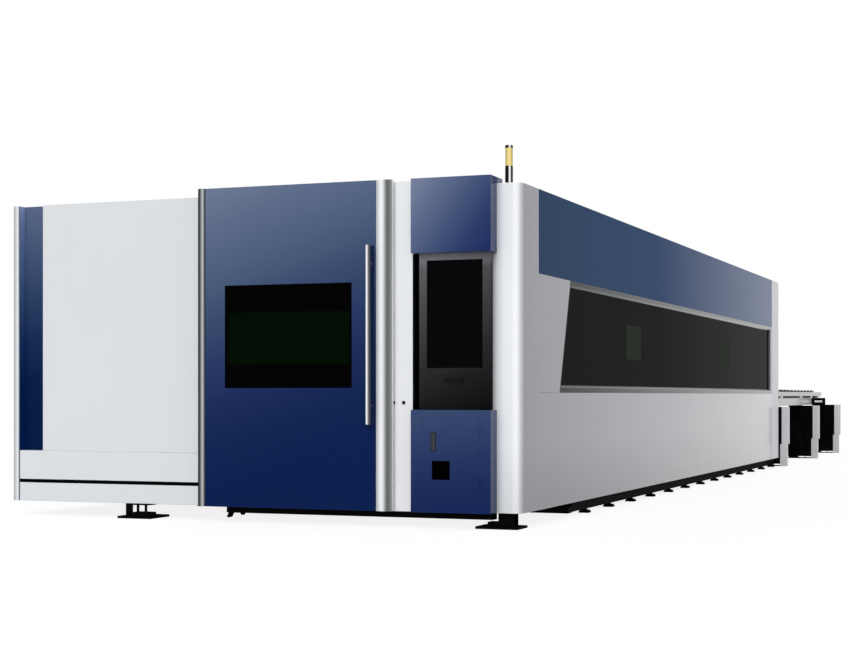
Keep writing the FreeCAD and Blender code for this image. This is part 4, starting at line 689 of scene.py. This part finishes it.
# ---- cutting head: copper nozzle, ring and collet, eight-sided body, fibre connector ----
# Each profile is (radius, height above the nozzle's tip). The body's radii are shares of its own.
NOZZLE = [(0.0015, 0.0), (0.0045, 0.0), (0.0115, 0.014), (0.0115, 0.020)]
COLLET = [(0.020, 0.020), (0.022, 0.022), (0.022, 0.034), (0.028, 0.042), (0.028, 0.060), (0.024, 0.064),
          (0.024, 0.070), (0.030, 0.074), (0.030, 0.110)]
HEAD_BODY = [(0.9, 0.110), (1.0, 0.116), (1.0, 0.176), (0.94, 0.180), (0.94, 0.186), (1.0, 0.190),
             (1.0, 0.290), (0.94, 0.294), (0.94, 0.300), (1.0, 0.304), (1.0, 0.325), (0.7, 0.335)]
CONNECTOR = [(0.030, 0.335), (0.030, 0.345), (0.022, 0.350)]
CONNECTOR_RADIUS = 0.022
HEAD_BLOCK = (0.190, 0.300)      # the block that joins the body to the slide, from and to
HEAD_SHARE = 0.99                # the body's radius, as a share of the node's half width
HEAD_TURN = 22.5                 # degrees that set a flat of the eight sides square to the machine


def cutting_head():
    low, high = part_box("cutting_head")
    radius = (high[0] - low[0]) / 2
    x = (low[0] + high[0]) / 2
    y = high[1] - radius * math.cos(math.radians(HEAD_TURN))
    tip = low[2]
    nozzle = Form()
    nozzle.turned(x, y, raised(NOZZLE, tip), 32)
    nozzle.piece("cutting_nozzle", "head", "head_steel", COPPER)
    head = Form()
    head.turned(x, y, raised(COLLET, tip), 32)
    head.turned(x, y, raised(HEAD_BODY, tip, radius * HEAD_SHARE), 8, first=HEAD_TURN)
    head.turned(x, y, raised(CONNECTOR, tip) + [(CONNECTOR_RADIUS, high[2])], 24)
    head.block((low[0], low[1], tip + HEAD_BLOCK[0]), (high[0], y, tip + HEAD_BLOCK[1]))
    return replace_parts(head.piece("cutting_head_shown", "head", "head_steel", HEAD, 0.001), "cutting_head")


cutting_head()


# ---- signal lamp: foot ring, ribbed lens and a cap with a rounded rim ----
LENS_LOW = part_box("lamp_lens")[0][2]
LENS_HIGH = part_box("lamp_lens")[1][2]
LAMP_SIDES = 40
FOOT_GROOVE = [(0.0, 0.010), (0.002, 0.012), (0.002, 0.016), (0.0, 0.018)]    # inset, above the foot
NECK_GROOVE = [(0.0, 0.010), (0.0015, 0.008), (0.0015, 0.006), (0.0, 0.004)]  # inset, below the lens
CAP_RIM = [(0.0, 0.004), (0.0012, 0.0012), (0.004, 0.0)]                      # inset, below the top
LENS_RIBS = 14
RIB_VALLEY = 0.0018      # the lens, inside the housing's radius, between two ribs
RIB_CREST = 0.001        # and on a rib
RIB_FROM = 0.3           # where the crest starts and ends, as shares of the pitch
RIB_TO = 0.7


def signal_lamp():
    r = (LAMP_HIGH[0] - LAMP_LOW[0]) / 2
    low, high = LAMP_LOW[2], LAMP_HIGH[2]
    foot = [(r - inset, low + height) for inset, height in FOOT_GROOVE]
    neck = [(r - inset, LENS_LOW - drop) for inset, drop in NECK_GROOVE]
    cap = [(r - inset, high - drop) for inset, drop in CAP_RIM]
    housing = Form()
    housing.turned(LAMP_X, LAMP_Y, [(r, low)] + foot + neck + [(r, LENS_LOW)], LAMP_SIDES)
    housing.turned(LAMP_X, LAMP_Y, [(r, LENS_HIGH)] + cap, LAMP_SIDES)
    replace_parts(housing.piece("lamp_housing_shown", "machine", "lamp_black", LAMP_BLACK), "lamp_housing")
    lens = Form()
    profile = []
    pitch = (LENS_HIGH - LENS_LOW) / LENS_RIBS
    for i in range(LENS_RIBS):
        level = LENS_LOW + i * pitch
        profile.append((r - RIB_VALLEY, level))
        profile.append((r - RIB_CREST, level + RIB_FROM * pitch))
        profile.append((r - RIB_CREST, level + RIB_TO * pitch))
    profile.append((r - RIB_VALLEY, LENS_HIGH))
    lens.turned(LAMP_X, LAMP_Y, profile, LAMP_SIDES)
    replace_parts(lens.piece("lamp_lens_shown", "machine", "lamp_amber", AMBER), "lamp_lens")


signal_lamp()


# ---- dust outlet: a flange on the roof with its screws, and a rolled bead at the mouth ----
COLLAR_ABOVE_ROOF = 0.140
COLLAR_SIDES = 64
FLANGE_OUT = 0.045
FLANGE_THICK = 0.005
FLANGE_SCREWS = 8
FLANGE_SCREW_OUT = 0.025
FLANGE_SCREW = [(0.008, FLANGE_THICK), (0.008, 0.010), (0.007, 0.011)]    # radius, height over the roof
MOUTH_BEAD = [(0.0, 0.020), (0.004, 0.016), (0.004, 0.010), (0.0, 0.006)]  # outwards, below the mouth


def dust_flange():
    low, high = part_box("dust_outlet")
    x = (low[0] + high[0]) / 2
    y = (low[1] + high[1]) / 2
    r = (high[0] - low[0]) / 2
    roof = high[2] - COLLAR_ABOVE_ROOF
    bead = [(r + out, high[2] - drop) for out, drop in MOUTH_BEAD]
    form = Form()
    form.turned(x, y, [(r, roof), (r + FLANGE_OUT, roof), (r + FLANGE_OUT, roof + FLANGE_THICK),
                       (r, roof + FLANGE_THICK)], COLLAR_SIDES, hollow=True)
    form.turned(x, y, bead, COLLAR_SIDES, hollow=True)
    for i in range(FLANGE_SCREWS):
        turn = 2 * math.pi * (i + 0.5) / FLANGE_SCREWS
        screw_x = x + (r + FLANGE_SCREW_OUT) * math.cos(turn)
        screw_y = y + (r + FLANGE_SCREW_OUT) * math.sin(turn)
        form.turned(screw_x, screw_y, raised(FLANGE_SCREW, roof), 6)
    return form.piece("dust_outlet_flange", "machine", "zinc_steel", ZINC)


dust_flange()


# ---- black strip along the edge of the door column, beside the console's niche: painted shade ----
SHADE_STRIP_WIDTH = 0.013
SHADE_STRIP_PROUD = 0.0012
SHADE_STRIP_DEPTH = 0.02
SHADE_STRIP_EDGE = 0.0008


def niche_edge_shade():
    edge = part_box("door_column")[1][0]
    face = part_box("door_column")[0][1]
    form = Form()
    form.block((edge - SHADE_STRIP_WIDTH, face - SHADE_STRIP_PROUD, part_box("console_cabinet")[1][2]),
               (edge + SHADE_STRIP_PROUD, face + SHADE_STRIP_DEPTH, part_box("console_hood")[0][2]))
    return form.piece("niche_edge_shade", "machine", "frame_black", BLACK, SHADE_STRIP_EDGE)


niche_edge_shade()


# ------------------------------------------------------------------ studio
def plain(name, size, height):
    bm = bmesh.new()
    bmesh.ops.create_grid(bm, x_segments=1, y_segments=1, size=size)
    mesh = bpy.data.meshes.new(name)
    bm.to_mesh(mesh)
    bm.free()
    floor = bpy.data.objects.new(name, mesh)
    floor.location.z = height
    bpy.context.scene.collection.objects.link(floor)
    return floor


def seen_rays(tree):
    """1 for camera, mirror and glass rays, 0 for the rays that carry light about."""
    path = tree.nodes.new("ShaderNodeLightPath")
    first = tree.nodes.new("ShaderNodeMath")
    first.operation = "MAXIMUM"
    second = tree.nodes.new("ShaderNodeMath")
    second.operation = "MAXIMUM"
    tree.links.new(path.outputs["Is Camera Ray"], first.inputs[0])
    tree.links.new(path.outputs["Is Glossy Ray"], first.inputs[1])
    tree.links.new(first.outputs[0], second.inputs[0])
    tree.links.new(path.outputs["Is Transmission Ray"], second.inputs[1])
    return second.outputs[0]


def floor_material(glow, shaded):
    """A white floor that still takes the object's shadow."""
    g = Graph("studio_floor")
    tree = g.tree
    tree.nodes.remove(g.shader)
    out = tree.nodes["Material Output"]
    lit = g.node("ShaderNodeBsdfDiffuse")
    lit.inputs["Color"].default_value = (0.62, 0.62, 0.63, 1)
    thin = g.node("ShaderNodeBsdfDiffuse")
    thin.inputs["Color"].default_value = (shaded, shaded, shaded, 1)
    white = g.node("ShaderNodeEmission")
    white.inputs["Color"].default_value = (1, 1, 1, 1)
    white.inputs["Strength"].default_value = glow
    both = g.node("ShaderNodeAddShader")
    tree.links.new(thin.outputs[0], both.inputs[0])
    tree.links.new(white.outputs[0], both.inputs[1])
    mix = g.node("ShaderNodeMixShader")
    tree.links.new(seen_rays(tree), mix.inputs["Fac"])
    tree.links.new(lit.outputs[0], mix.inputs[1])
    tree.links.new(both.outputs[0], mix.inputs[2])
    tree.links.new(mix.outputs[0], out.inputs["Surface"])
    return g.material


def studio_world(ambient):
    world = bpy.data.worlds.new("studio")
    bpy.context.scene.world = world
    world.use_nodes = True
    tree = world.node_tree
    out = tree.nodes["World Output"]
    soft = tree.nodes["Background"]
    soft.inputs["Color"].default_value = (0.97, 0.98, 1.0, 1)
    soft.inputs["Strength"].default_value = ambient
    seen = tree.nodes.new("ShaderNodeBackground")
    seen.inputs["Color"].default_value = (1, 1, 1, 1)
    seen.inputs["Strength"].default_value = 1.0
    mix = tree.nodes.new("ShaderNodeMixShader")
    tree.links.new(seen_rays(tree), mix.inputs["Fac"])
    tree.links.new(soft.outputs[0], mix.inputs[1])
    tree.links.new(seen.outputs[0], mix.inputs[2])
    tree.links.new(mix.outputs[0], out.inputs["Surface"])


def sun(name, towards, power, softness):
    """A wide soft light that comes from the direction given."""
    data = bpy.data.lights.new(name, "SUN")
    data.energy = power
    data.angle = math.radians(softness)
    light = bpy.data.objects.new(name, data)
    light.rotation_mode = "QUATERNION"
    light.rotation_quaternion = Vector(towards).to_track_quat("Z", "Y")
    bpy.context.scene.collection.objects.link(light)


FLOOR_SIZE = 400.0
FLOOR_GLOW = 0.86
FLOOR_SHADED = 0.2
AMBIENT = 0.34

floor = plain("studio_floor", FLOOR_SIZE, 0.0)
floor.data.materials.append(floor_material(FLOOR_GLOW, FLOOR_SHADED))
studio_world(AMBIENT)
sun("key", (0.12, -0.88, 0.46), power=2.05, softness=50.0)
sun("side", (0.95, 0.25, 0.3), power=0.5, softness=40.0)
sun("fill_back", (-0.75, 0.55, 0.38), power=0.9, softness=60.0)

# The camera stands level, to the machine's right, and looks to the left of straight ahead.
CAMERA_PLACE = (5.5715, -19.008, 0.933)
CAMERA_TURN = 21.14
CAMERA_LENS = 70.0
SENSOR_WIDTH = 36.0
CAMERA_RISE = 0.0824
NEAREST = 0.1
FARTHEST = 400.0

camera_data = bpy.data.cameras.new("camera")
camera_data.lens = CAMERA_LENS
camera_data.sensor_width = SENSOR_WIDTH
camera_data.shift_y = CAMERA_RISE
camera_data.clip_start = NEAREST
camera_data.clip_end = FARTHEST
camera = bpy.data.objects.new("camera", camera_data)
camera.location = CAMERA_PLACE
camera.rotation_euler = (math.radians(90.0), 0.0, math.radians(CAMERA_TURN))
bpy.context.scene.collection.objects.link(camera)
bpy.context.scene.camera = camera
bpy.context.scene.view_settings.view_transform = "Standard"
